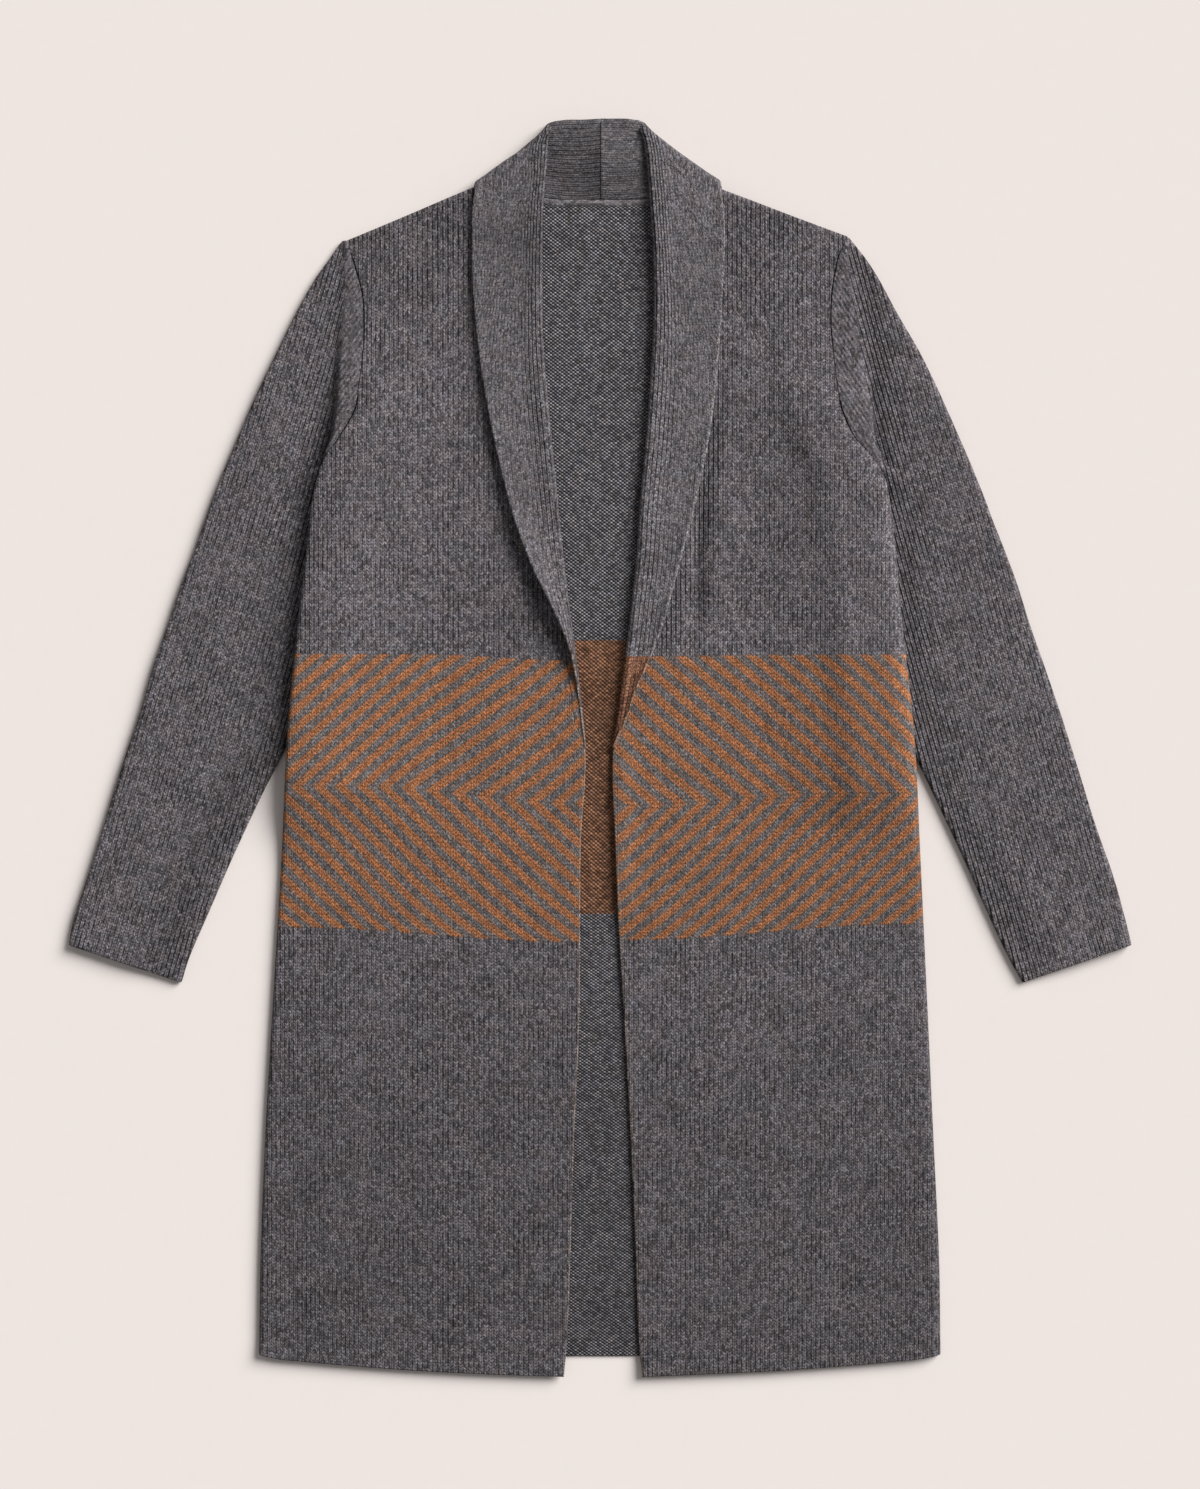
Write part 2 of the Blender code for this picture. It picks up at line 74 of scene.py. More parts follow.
class Value:
    """A number in a finish that changes over the cloth. Sums and products of values add the Math
    nodes that work them out."""

    def __init__(self, finish, socket):
        self.finish, self.socket = finish, socket

    def math(self, operation, *others, clamp=False):
        inputs = dict(enumerate((self,) + others))
        return self.finish.node("ShaderNodeMath", {"operation": operation, "use_clamp": clamp}, inputs)

    def __add__(self, other):
        return self.math("ADD", other)

    def __mul__(self, other):
        return self.math("MULTIPLY", other)

    def __sub__(self, other):
        return self.math("SUBTRACT", other)

    def __rsub__(self, other):
        return (self * -1.0) + other

    def __truediv__(self, other):
        return self.math("DIVIDE", other)

    def __pow__(self, other):
        return self.math("POWER", other)

    __radd__, __rmul__ = __add__, __mul__

    def step(self, start, end):
        """0 at start, 1 at end, with a soft step between them."""
        inputs = {"Value": self, "From Min": start, "From Max": end}
        return self.finish.node("ShaderNodeMapRange", {"interpolation_type": "SMOOTHSTEP"}, inputs)


class Finish:
    """A material and the nodes in front of its shader. Wool and paper have little gloss."""

    def __init__(self, name, roughness):
        self.material = bpy.data.materials.new(name)
        self.material.use_nodes = True
        self.tree = self.material.node_tree
        self.shader = self.tree.nodes["Principled BSDF"]
        self.shader.inputs["Roughness"].default_value = roughness
        self.shader.inputs["Specular IOR Level"].default_value = 0.25

    def node(self, kind, settings, inputs, output=0):
        added = self.tree.nodes.new(kind)
        for name, setting in settings.items():
            setattr(added, name, setting)
        for name, value in inputs.items():
            if isinstance(value, Value):
                self.tree.links.new(value.socket, added.inputs[name])
            else:
                added.inputs[name].default_value = value
        return Value(self, added.outputs[output])

    def noise(self, place, scale, detail=2.0, roughness=0.5):
        inputs = {"Vector": place, "Scale": scale, "Detail": detail, "Roughness": roughness}
        return self.node("ShaderNodeTexNoise", {}, inputs)

    def mix(self, share, first, second):
        """Between two colours."""
        return self.node("ShaderNodeMix", {"data_type": "RGBA"}, {0: share, 6: first, 7: second}, 2)

    def scaled(self, colour, factor):
        """A colour or a place times a number."""
        inputs = {0: colour, "Scale": factor}
        return self.node("ShaderNodeVectorMath", {"operation": "SCALE"}, inputs)

    def show(self, value, name):
        self.tree.links.new(value.socket, self.shader.inputs[name])


bpy.ops.object.select_all(action="DESELECT")
bpy.ops.mesh.primitive_plane_add(size=PAPER_SIZE, location=(0.0, 0.0, PAPER_Z))
floor = bpy.context.active_object
floor.name = "paper"
paper = Finish("paper", 0.9)
paper_place = paper.node("ShaderNodeTexCoord", {}, {}, "Object")
fibres = paper.noise(paper_place, *PAPER_FIBRES)
paper.show(paper.mix(fibres, *[opaque(PAPER, shade) for shade in PAPER_SHADES]), "Base Color")
floor.data.materials.append(paper.material)

camera = bpy.data.objects.new("camera", bpy.data.cameras.new("camera"))
bpy.context.collection.objects.link(camera)
camera.location = (*VIEW_CENTRE, VIEW_LEVEL + VIEW_DISTANCE)
camera.data.sensor_fit = "VERTICAL"
camera.data.sensor_height = SENSOR
camera.data.lens = SENSOR * VIEW_DISTANCE / VIEW_HEIGHT
bpy.context.scene.camera = camera

lamp = bpy.data.objects.new("soft_lamp", bpy.data.lights.new("soft_lamp", "SUN"))
bpy.context.collection.objects.link(lamp)
lamp.data.energy = LAMP_STRENGTH
lamp.data.angle = LAMP_SPREAD
lamp.location = LAMP_DIRECTION
lamp.rotation_euler = (-lamp.location).to_track_quat("-Z", "Y").to_euler()

world = bpy.data.worlds.new("room")
bpy.context.scene.world = world
world.use_nodes = True
world.node_tree.nodes["Background"].inputs["Color"].default_value = (1.0, 1.0, 1.0, 1.0)
world.node_tree.nodes["Background"].inputs["Strength"].default_value = SKY_STRENGTH
bpy.context.scene.view_settings.view_transform = "Standard"


# ---------------------------------------------------------------------------------------------
# The back.
# One knitted panel of grey wool from hem to shoulders, with its purl side towards the wearer. It
# lies lowest, over the sleeves and over the hidden part of the collar.

# The wall of cloth, the height of its middle where it lies on the surface, the room that one more
# layer takes up, and how far a front lies over the back.
WALL = 0.0023
LOWEST = 0.0012
LAYER = 0.0028
FRONT_RISE = 0.0038
# Pieces are this far apart at their seams, where the radius of their edges is small.
ARMHOLE_GAP = 0.0002
NECK_GAP = 0.0002
SEAM_EDGE = 0.0003
# The radius of the edges along the armhole's seam, by height, on the left and on the right. It is
# largest in the pleat by the left underarm.
ARMHOLE_EDGE = np.array([(0.2161, 0.0006, 0.0003), (0.2480, 0.0007, 0.0003), (0.2620, 0.0007, 0.0003),
                         (0.2740, 0.0004, 0.0003), (0.2980, 0.0003, 0.0003), (0.3120, 0.0005, 0.0004),
                         (0.4000, 0.0005, 0.0004)])
# How far the front stands off that seam: in the pleat, and in the thin slit by the shoulder.
PLEAT_GAP = np.array([(0.2161, 0.0), (0.2280, 0.0), (0.2340, 0.0007), (0.2640, 0.0008), (0.2760, 0.0),
                      (0.3050, 0.0), (0.3250, 0.0004), (0.3800, 0.0005), (0.3900, 0.0)])
FALL_FOLD = 0.0036
# The sleeves lift the back. Each lift grows from one height to another and fades out between two
# more, and grows towards the side between two shares of the way to the side edge.
SLEEVE_LIFT = 0.0061
LIFT_FROM_Y, LIFT_TO_Y = (-0.075, -0.015), (0.235, 0.325)
LIFT_ACROSS = (0.50, 0.79)
SIDE_LOFT = {"left": 0.0080, "right": 0.0044}
LOFT_FROM_Y, LOFT_TO_Y = (-0.100, -0.030), {"left": (0.200, 0.370), "right": (0.270, 0.390)}
LOFT_ACROSS = {"left": (0.70, 0.98), "right": (0.70, 0.82)}
LOW_SIDE_LOFT = 0.0007
LOW_LOFT_ACROSS = (0.90, 1.0)
# At the right side the cloth falls back towards its edge.
SIDE_FALL = 0.0042
FALL_TO_Y = (0.180, 0.350)
FALL_ACROSS = 0.92
# The hidden fall of the collar lifts it too: how softly at its edge and at its ends.
OVER_FALL = (0.008, 0.052)
OVER_FALL_ACROSS = (0.110, 0.170)
HEM_Y = -0.4735
BACK_HEM_Y = -0.4750
UNDERARM_Y = 0.2161
SEWN_FROM_Y = 0.2000
TILT_FROM_Y = 0.16
NECK_Y = 0.4278
NECK_SQUARENESS = 6
LEDGE_DEPTH = 0.0046
LEDGE_RISE = 0.0015
TOP_INSET_FROM_Y = 0.388
FALL_CENTRE_Y = 0.4165
WALE = 0.0035
BAND_ROWS = 35
LOW_COURSE = 0.0024
CHEST_COURSE = 0.0026
BACK_CHEST_COURSE = 0.0027
BACK_BAND_Y = (-0.1295, 0.0842)
GRID = 0.0036

Place = namedtuple("Place", "across y")
NECK = {"left": Place(0.0686, 0.4500), "right": Place(0.0655, 0.4468)}
SHOULDER = {"left": Place(0.1989, 0.3962), "right": Place(0.1934, 0.3994)}
COLLAR_CORNER = {"left": Place(0.0405, 0.4895), "right": Place(0.0343, 0.4895)}
FALL_CORNER = {"left": Place(0.1016, 0.4403), "right": Place(0.0979, 0.4415)}
SIGN = {"left": -1.0, "right": 1.0}

# The side fold of the body and the seam of the armhole: height, then distance from the centre
# line on the left and on the right.
SIDE = np.array([
    (-0.4735, 0.2662, 0.2662), (-0.4000, 0.2652, 0.2652), (-0.2990, 0.2613, 0.2605),
    (-0.1650, 0.2535, 0.2543), (-0.0340, 0.2457, 0.2480), (0.0195, 0.2426, 0.2445),
    (0.1000, 0.2348, 0.2356), (0.1630, 0.2274, 0.2300), (0.1920, 0.2242, 0.2264),
    (0.2080, 0.2207, 0.2232), (0.2161, 0.2183, 0.2192)])
ARMHOLE = np.array([
    (0.2161, 0.2183, 0.2192), (0.2293, 0.2121, 0.2098), (0.2426, 0.2028, 0.1981),
    (0.2636, 0.1911, 0.1888), (0.2824, 0.1880, 0.1849), (0.3104, 0.1849, 0.1817),
    (0.3299, 0.1845, 0.1802), (0.3526, 0.1856, 0.1808), (0.3713, 0.1903, 0.1836),
    (0.3850, 0.1945, 0.1868), (0.3994, 0.1989, 0.1934)])
LEFT_RIGHT = {"left": 1, "right": 2}

Crease = namedtuple("Crease", "x0 y0 x1 y1 width height")


def soft_step(start, end, value):
    """0 at start, 1 at end, and a soft step between them."""
    share = np.clip((value - start) / (end - start), 0.0, 1.0)
    return share * share * (3.0 - 2.0 * share)


def through(places, heights, value):
    """A smooth curve through points, read at value."""
    slopes = np.empty(len(places))
    slopes[1:-1] = (heights[2:] - heights[:-2]) / (places[2:] - places[:-2])
    slopes[0] = (heights[1] - heights[0]) / (places[1] - places[0])
    slopes[-1] = (heights[-1] - heights[-2]) / (places[-1] - places[-2])
    value = np.clip(value, places[0], places[-1])
    i = np.clip(np.searchsorted(places, value, side="right") - 1, 0, len(places) - 2)
    span = places[i + 1] - places[i]
    t = (value - places[i]) / span
    return ((2 * t**3 - 3 * t**2 + 1) * heights[i] + (t**3 - 2 * t**2 + t) * span * slopes[i]
            + (3 * t**2 - 2 * t**3) * heights[i + 1] + (t**3 - t**2) * span * slopes[i + 1])


def outer_edge(side, y):
    column = LEFT_RIGHT[side]
    return np.where(y < UNDERARM_Y, through(SIDE[:, 0], SIDE[:, column], y),
                    through(ARMHOLE[:, 0], ARMHOLE[:, column], y))


def top_edge(side, across):
    """The shoulder seam, and the dip of the neck between the shoulders."""
    neck, tip = NECK[side], SHOULDER[side]
    slope = (tip.y - neck.y) / (tip.across - neck.across)
    return np.where(across >= neck.across, neck.y + slope * (across - neck.across),
                    NECK_Y + (neck.y - NECK_Y) * (across / neck.across) ** NECK_SQUARENESS)


def back_height(side, x, y):
    """The middle of the back's wall, over the sleeves and the hidden fall of the collar."""
    share = abs(x) / outer_edge(side, y)
    along = soft_step(*LIFT_FROM_Y, y) * (1.0 - soft_step(*LIFT_TO_Y, y))
    over_sleeve = SLEEVE_LIFT * along * soft_step(*LIFT_ACROSS, share)
    lofted = soft_step(*LOFT_FROM_Y, y)
    along = lofted * (1.0 - soft_step(*LOFT_TO_Y[side], y))
    over_sleeve = over_sleeve + SIDE_LOFT[side] * along * soft_step(*LOFT_ACROSS[side], share)
    if side == "right":
        along = lofted * (1.0 - soft_step(*FALL_TO_Y, y))
        outermost = np.clip((share - FALL_ACROSS) / (1.0 - FALL_ACROSS), 0.0, 1.0)
        over_sleeve = over_sleeve - SIDE_FALL * along * outermost**2
    else:
        over_sleeve = over_sleeve + LOW_SIDE_LOFT * (1.0 - lofted) * soft_step(*LOW_LOFT_ACROSS, share)
    corner = FALL_CORNER[side]
    fall_edge = FALL_CENTRE_Y + (corner.y - FALL_CENTRE_Y) * np.minimum(abs(x) / corner.across, 1.0) ** 2
    over_fall = FALL_FOLD * (1.0 - soft_step(*OVER_FALL, fall_edge - y))
    over_fall = over_fall * (1.0 - soft_step(*OVER_FALL_ACROSS, abs(x)))
    return LOWEST + np.maximum(over_sleeve, over_fall)


def creased(points, creases):
    """Adds soft troughs and ridges: each runs along a line and fades out at its ends."""
    for crease in creases:
        start = np.array((crease.x0, crease.y0))
        line = np.array((crease.x1, crease.y1)) - start
        length = np.hypot(*line)
        along = (points[..., :2] - start) @ line / length**2
        nearest = start + np.clip(along, 0.0, 1.0)[..., None] * line
        off = np.hypot(*np.moveaxis(points[..., :2] - nearest, -1, 0))
        fade = soft_step(-0.12, 0.30, along) * (1.0 - soft_step(0.70, 1.12, along))
        points[..., 2] += crease.height * fade * np.exp(-(off / crease.width) ** 2)
    return points


EDGE_PLACES = np.array((0.0, 0.00005, 0.00018, 0.00042, 0.00075, 0.00115))
FIRST_INSET = 0.0022


def shares(length, pitch, start=True, end=True):
    """Places from 0 to 1 along a length, about a pitch apart, and closer together at the ends that
    are edges of the cloth, so that they come out round."""
    edge = EDGE_PLACES / length
    inset = FIRST_INSET / length
    first, last = inset if start else 0.0, 1.0 - inset if end else 1.0
    inner = np.linspace(first, last, max(2, round(length / pitch)))
    return np.concatenate((edge if start else [], inner, 1.0 - edge[::-1] if end else []))


def knitted_shell(name, points, stitches, outside, inside, measures=None, joined_from=None):
    """A wall of cloth round a grid of points at its middle, with round edges.

    stitches counts wales and courses at each point. Columns run so that the outside is up. From
    the row joined_from on, the first and last columns are one, as in a sleeve. measures holds,
    where they are wanted, edge, the radius of the edge, wall, its thickness, and the attributes of
    the finish."""
    measures = dict(measures or {})
    rows, columns = points.shape[:2]
    joined = rows if joined_from is None else joined_from
    ahead = np.gradient(points, axis=0)
    across = np.gradient(points, axis=1)
    across[joined:, 0] = across[joined:, -1] = points[joined:, 1] - points[joined:, -2]
    normal = np.cross(across, ahead)
    normal /= np.linalg.norm(normal, axis=2, keepdims=True)
    steps = np.linalg.norm(np.diff(points, axis=1), axis=2)
    from_first = np.concatenate((np.zeros((rows, 1)), np.cumsum(steps, axis=1)), axis=1)
    to_side = np.minimum(from_first, from_first[:, -1:] - from_first)
    steps = np.linalg.norm(np.diff(points, axis=0), axis=2)
    from_start = np.concatenate((np.zeros((1, columns)), np.cumsum(steps, axis=0)), axis=0)
    to_end = np.minimum(from_start, from_start[-1:] - from_start)
    if joined < rows:
        past_slit = np.maximum(from_start[:, 0] - from_start[joined, 0], 0.0)
        to_side = np.hypot(to_side, past_slit[:, None])
    radius = measures.pop("edge", WALL / 2)
    inward = np.clip(1.0 - np.minimum(to_side, to_end) / radius, 0.0, 1.0)
    half = measures.pop("wall", WALL) / 2 * np.sqrt(1.0 - inward**2)
    upper, lower = points + normal * half[..., None], points - normal * half[..., None]
    ids = np.arange(rows * columns).reshape(rows, columns)
    above, below = ids.copy(), ids + rows * columns
    rim = np.zeros((rows, columns), bool)
    rim[0] = rim[-1] = True
    rim[: joined + 1, 0] = rim[: joined + 1, -1] = True
    above[joined:, -1] = above[joined:, 0]
    below[joined:, -1] = below[joined:, 0]
    below[rim] = above[rim]
    corners = [(0, 0), (0, 1), (1, 1), (1, 0)]

    def quads(grid, order):
        parts = [grid[r : rows - 1 + r, c : columns - 1 + c] for r, c in order]
        return np.stack(parts, axis=-1).reshape(-1, grid.shape[-1] if grid.ndim == 3 else 4)

    faces = np.concatenate((quads(above, corners), quads(below, corners[::-1])))
    uv = []
    for order in (corners, corners[::-1]):
        at_corners = [stitches[r : rows - 1 + r, c : columns - 1 + c] for r, c in order]
        uv.append(np.stack(at_corners, axis=2).reshape(-1, 2))
    uv = np.concatenate(uv)
    used = np.unique(faces)
    renumber = np.zeros(2 * rows * columns, int)
    renumber[used] = np.arange(len(used))
    faces = renumber[faces]
    vertices = np.concatenate((upper.reshape(-1, 3), lower.reshape(-1, 3)))[used]
    mesh = bpy.data.meshes.new(name)
    mesh.from_pydata(vertices.tolist(), [], faces.tolist())
    mesh.uv_layers.new(name="stitches").data.foreach_set("uv", uv.astype(np.float32).ravel())
    for attribute, value in measures.items():
        both = np.tile((value * np.ones((rows, columns))).ravel(), 2)[used]
        layer = mesh.attributes.new(attribute, "FLOAT", "POINT")
        layer.data.foreach_set("value", both.astype(np.float32))
    mesh.materials.append(outside)
    mesh.materials.append(inside)
    sides = np.repeat((0, 1), (rows - 1) * (columns - 1)).astype(np.int32)
    mesh.polygons.foreach_set("material_index", sides)
    mesh.polygons.foreach_set("use_smooth", np.ones(len(faces), bool))
    mesh.validate()
    mesh.update()
    piece = bpy.data.objects.new(name, mesh)
    bpy.context.collection.objects.link(piece)
    return piece


def back_courses(y):
    """Courses of the back above the middle of its band at a height."""
    start, end = BACK_BAND_Y
    inside_band = (np.clip(y, start, end) - (start + end) / 2) * 2 * BAND_ROWS / (end - start)
    below, above = np.minimum(y - start, 0.0), np.maximum(y - end, 0.0)
    return inside_band + below / LOW_COURSE + above / BACK_CHEST_COURSE


# Pale colours at the edges: the warm one is the pale line of knitted edges and partly painted highlight; the
# grey one is painted highlight along the right lapel's free edge.
SELVEDGE = (0.240, 0.180, 0.140)
HIGHLIGHT_GREY = (0.238, 0.217, 0.226)
GREY = (0.1035, 0.0930, 0.1000)
BAND_GREY = (0.106, 0.090, 0.086)
RUST = (0.243, 0.098, 0.044)
PURL_BROWN = (0.177, 0.085, 0.049)
TURNED_BROWN = (0.188, 0.088, 0.053)
PURL_GREY = (0.112, 0.105, 0.112)
LEDGE_GREY = (0.172, 0.158, 0.166)
CHEVRON_PERIOD = 5.0
CHEVRON_RUST = 2.5
LEG_RISE = 1.15
DARKEST_Y = -0.50
LIGHTEST_Y = 0.12
FADE = 0.260
DARKEST_SHADE = 0.10
COOL, WARM = (0.975, 1.0, 1.03), (1.03, 1.0, 0.97)
HATCH_TURN = math.radians(33.0)
HATCH_PITCH = 0.0032
# Noises: how many to a metre, detail and roughness.
FIBRES = (850.0, 1.0, 0.5)
PATCHES = (230.0, 2.0, 0.55)
CLOUDS = (24.0, 2.0, 0.5)
WARMTH = (90.0, 2.0, 0.5)
UNEVENNESS = (38.0, 2.0, 0.5)
RAGGEDNESS = (420.0, 1.0, 0.5)
KNIT_RELIEF, PURL_RELIEF = 0.0008, 0.0009
# Where the gutter beside a column of stitches begins and is full, from the column's middle out.
GUTTER = (0.24, 0.46)


def attribute(finish, name):
    return finish.node("ShaderNodeAttribute", {"attribute_name": name}, {}, "Fac")


def counts(finish, as_front):
    """The wales and courses up to a place, as the front beside it counts them if as_front is set."""
    if as_front:
        return [attribute(finish, "front_wale"), attribute(finish, "front_course")]
    stitches = finish.node("ShaderNodeUVMap", {"uv_map": "stitches"}, {})
    return [finish.node("ShaderNodeSeparateXYZ", {}, {"Vector": stitches}, axis) for axis in (0, 1)]


def position(finish, axis):
    """How far across or up the garment a place is: axis 0 or 1."""
    place = finish.node("ShaderNodeTexCoord", {}, {}, "Object")
    return finish.node("ShaderNodeSeparateXYZ", {}, {"Vector": place}, axis)


def here(finish, seed):
    """A place on the cloth, moved by the seed so that no two finishes have the same noise."""
    place = finish.node("ShaderNodeTexCoord", {}, {}, "Object")
    return finish.node("ShaderNodeVectorMath", {"operation": "ADD"}, {0: place, 1: (seed, seed, seed)})


def heather(finish, colour, loft, cell, place, contrast, variety=1.0, fade=FADE, flecks=2.9):
    """Wool of mixed fibres: each loop has its own shade, with pale and dark flecks, in soft
    patches, and the hollow round it is dark. loft is 0 in a hollow and 1 on a loop, and variety is
    how much the loops differ. The attribute shade is painted shade where it is above 0 and painted
    highlight where it is below 0; on the collar it also lightens the loops where the gutters open.
    The cloth is darker towards the hem by fade."""
    shade = finish.node("ShaderNodeTexWhiteNoise", {"noise_dimensions": "3D"}, {"Vector": cell})
    noises = [finish.noise(place, *noise) for noise in (FIBRES, PATCHES, CLOUDS, WARMTH)]
    fibre, patch, cloud, warmth = noises
    value = 1.0 + contrast * (loft - 0.62)
    value = value * (1.0 + 1.05 * variety * (shade - 0.5)) * (1.0 + flecks * (fibre - 0.5))
    value = value * (1.0 + 0.70 * variety * (patch - 0.5)) * (1.0 + 0.35 * variety * (cloud - 0.5))
    value = value * (1.0 - fade + fade * position(finish, 1).step(DARKEST_Y, LIGHTEST_Y))
    # Painted shade where the attribute shade is above 0, painted highlight where it is below 0.
    value = value * (1.0 - attribute(finish, "shade"))
    tint = finish.mix(warmth.step(0.35, 0.65), opaque(COOL), opaque(WARM))
    tinted = finish.node("ShaderNodeMix", {"data_type": "RGBA", "blend_type": "MULTIPLY"},
                         {0: 1.0, 6: colour, 7: tint}, 2)
    finish.show(finish.scaled(tinted, value.math("MAXIMUM", DARKEST_SHADE)), "Base Color")


def relief(finish, height, distance):
    """Loops that stand out by a distance where height is 1."""
    bump = finish.node("ShaderNodeBump", {}, {"Height": height, "Distance": distance})
    finish.show(bump, "Normal")


def cell_of(finish, across, along, seed):
    """A place that is the same all over one loop."""
    return finish.node("ShaderNodeCombineXYZ", {}, {0: across, 1: along, 2: seed})


def in_band(row):
    """1 in the rows of the band, which are counted from its middle."""
    return (row + 0.5).math("ABSOLUTE").math("LESS_THAN", float(BAND_ROWS))


def chevrons(wales, courses, turn, raggedness):
    """1 on the rust loops: diagonal stripes that move by one stitch in each row, and turn back at
    the middle row."""
    moved = wales - courses.math("ABSOLUTE") * turn + raggedness + 0.25
    return moved.math("FLOORED_MODULO", CHEVRON_PERIOD).math("LESS_THAN", CHEVRON_RUST)


def knit_side(name, seed, colour=GREY, turn=None, turned_over_from=None, fade=FADE, hatched=False,
              as_front=False, variety=1.0):
    """The right side of the knit: columns of V stitches, with a gutter between the columns. turn
    is the way the chevrons turn, if the piece has them. Below the height turned_over_from the
    brown back of the band shows instead, and above it the pale line at the edge is grey.

    Attributes of the mesh change it from place to place: openness widens the gutters, felt closes
    the surface, pressed flattens it, selvedge_and_highlight is the pale line along a knitted edge
    together with painted highlight where an edge faces the lamp, and hatch shows the wales aslant
    over a seam allowance."""
    finish = Finish(name, 0.92)
    wales, courses = counts(finish, as_front)
    place = here(finish, seed)
    opened, felt, pressed = [attribute(finish, name) for name in ("openness", "felt", "pressed")]
    flattened = pressed.math("MINIMUM", 1.0)
    column = wales.math("FLOOR")
    off = (wales - column - 0.5).math("ABSOLUTE")
    along = courses - (off - 0.25) * LEG_RISE
    row = along.math("FLOOR")
    ridge = ((along - row) * math.pi).math("SINE").math("MAXIMUM", 0.0) ** 0.7
    uneven = finish.noise(place, *UNEVENNESS).step(0.30, 0.70)
    hole = finish.node("ShaderNodeTexWhiteNoise", {"noise_dimensions": "3D"},
                       {"Vector": cell_of(finish, (wales + 0.5).math("FLOOR"), row, seed + 0.5)})
    hole = 0.5 + (hole - 0.5) * (1.0 - 0.55 * opened) * (1.0 - 0.60 * flattened)
    depth = (0.27 + 0.32 * uneven + 0.50 * opened) * (0.45 + 1.10 * hole)
    middle = (1.0 - off.step(0.0, 0.17)) * (1.0 + 0.8 * flattened)
    half = (wales - column).math("GREATER_THAN", 0.5)
    cell = cell_of(finish, column * 2.0 + half, row, seed)
    yarn, contrast = opaque(colour), 1.5 * (1.0 - 0.45 * felt)
    variety = variety * (1.0 - 0.35 * flattened)
    if turn is not None:
        raggedness = (finish.noise(place, *RAGGEDNESS) - 0.5) * 0.9
        banded = in_band(row)
        rust = chevrons(wales, courses, turn, raggedness) * banded
        yarn = finish.mix(rust, finish.mix(banded, yarn, opaque(BAND_GREY)), opaque(RUST))
        depth = depth * (1.0 - 0.70 * banded)
        variety = variety * (1.0 - 0.35 * banded - 0.30 * rust)
    gutter = off.step(*GUTTER) * depth.math("MINIMUM", 0.97)
    between = 0.45 * (1.0 - 0.5 * flattened)
    loft = (1.0 - gutter - 0.22 * middle) * (1.0 - between * (1.0 - ridge))
    if hatched:
        slant = position(finish, 0).math("ABSOLUTE") * math.cos(HATCH_TURN)
        slant = slant + position(finish, 1) * math.sin(HATCH_TURN)
        ribs = (slant * (2 * math.pi / HATCH_PITCH)).math("SINE") * 0.14 + 0.60
        hatch = attribute(finish, "hatch")
        loft = loft * (1.0 - hatch) + ribs * hatch
    # The pale line along edges: partly the knitted edge itself, partly painted highlight where an edge faces
    # the lamp.
    pale = opaque(SELVEDGE)
    if turned_over_from is not None:
        below = position(finish, 1).math("LESS_THAN", turned_over_from)
        yarn = finish.mix(below, yarn, opaque(TURNED_BROWN))
        pale = finish.mix(below, opaque(HIGHLIGHT_GREY), pale)
    yarn = finish.mix(attribute(finish, "selvedge_and_highlight"), yarn, pale)
    heather(finish, yarn, loft, cell, place, contrast, variety, fade)
    relief(finish, loft * (1.0 - 0.6 * felt), KNIT_RELIEF)
    return finish.material


def purl_side(name, seed, band=False):
    """The wrong side of the knit: staggered bumps where the loops cross. Behind the band all the
    bumps are brown, because both yarns run there."""
    finish = Finish(name, 0.95)
    wales, courses = counts(finish, as_front=False)
    place = here(finish, seed)
    wave = (wales * (2 * math.pi)).math("COSINE") * (courses * (2 * math.pi)).math("COSINE")
    loft = (wave * 0.5 + 0.5) ** 1.3
    felt = attribute(finish, "felt")
    row = (courses * 2.0 + 0.5).math("FLOOR")
    column = (wales + row * 0.5 + 0.5).math("FLOOR")
    cell = cell_of(finish, column, row, seed)
    yarn = opaque(PURL_GREY)
    contrast = 3.4 * (1.0 - 0.9 * felt)
    if band:
        inside = courses.math("ABSOLUTE").math("LESS_THAN", float(BAND_ROWS))
        yarn = finish.mix(inside, yarn, opaque(PURL_BROWN))
        contrast = contrast * (1.0 - 0.5 * inside)
    yarn = finish.mix(felt, yarn, opaque(LEDGE_GREY))
    heather(finish, yarn, loft + 0.2, cell, place, contrast, flecks=1.5)
    relief(finish, loft * (1.0 - 0.9 * felt), PURL_RELIEF)
    return finish.material


BACK_LENGTH = 0.874
BACK_WIDTH = 0.532
# Rows that are added below the neck, where the seam's ledge ends.
LEDGE_ROWS = np.array((0.0034, 0.0044, 0.0050, 0.0056))
LEDGE_END = (LEDGE_DEPTH - 0.0007, LEDGE_DEPTH + 0.0004)
ARMHOLE_INSET_LENGTH = 0.013
NECK_INSET = 0.0002


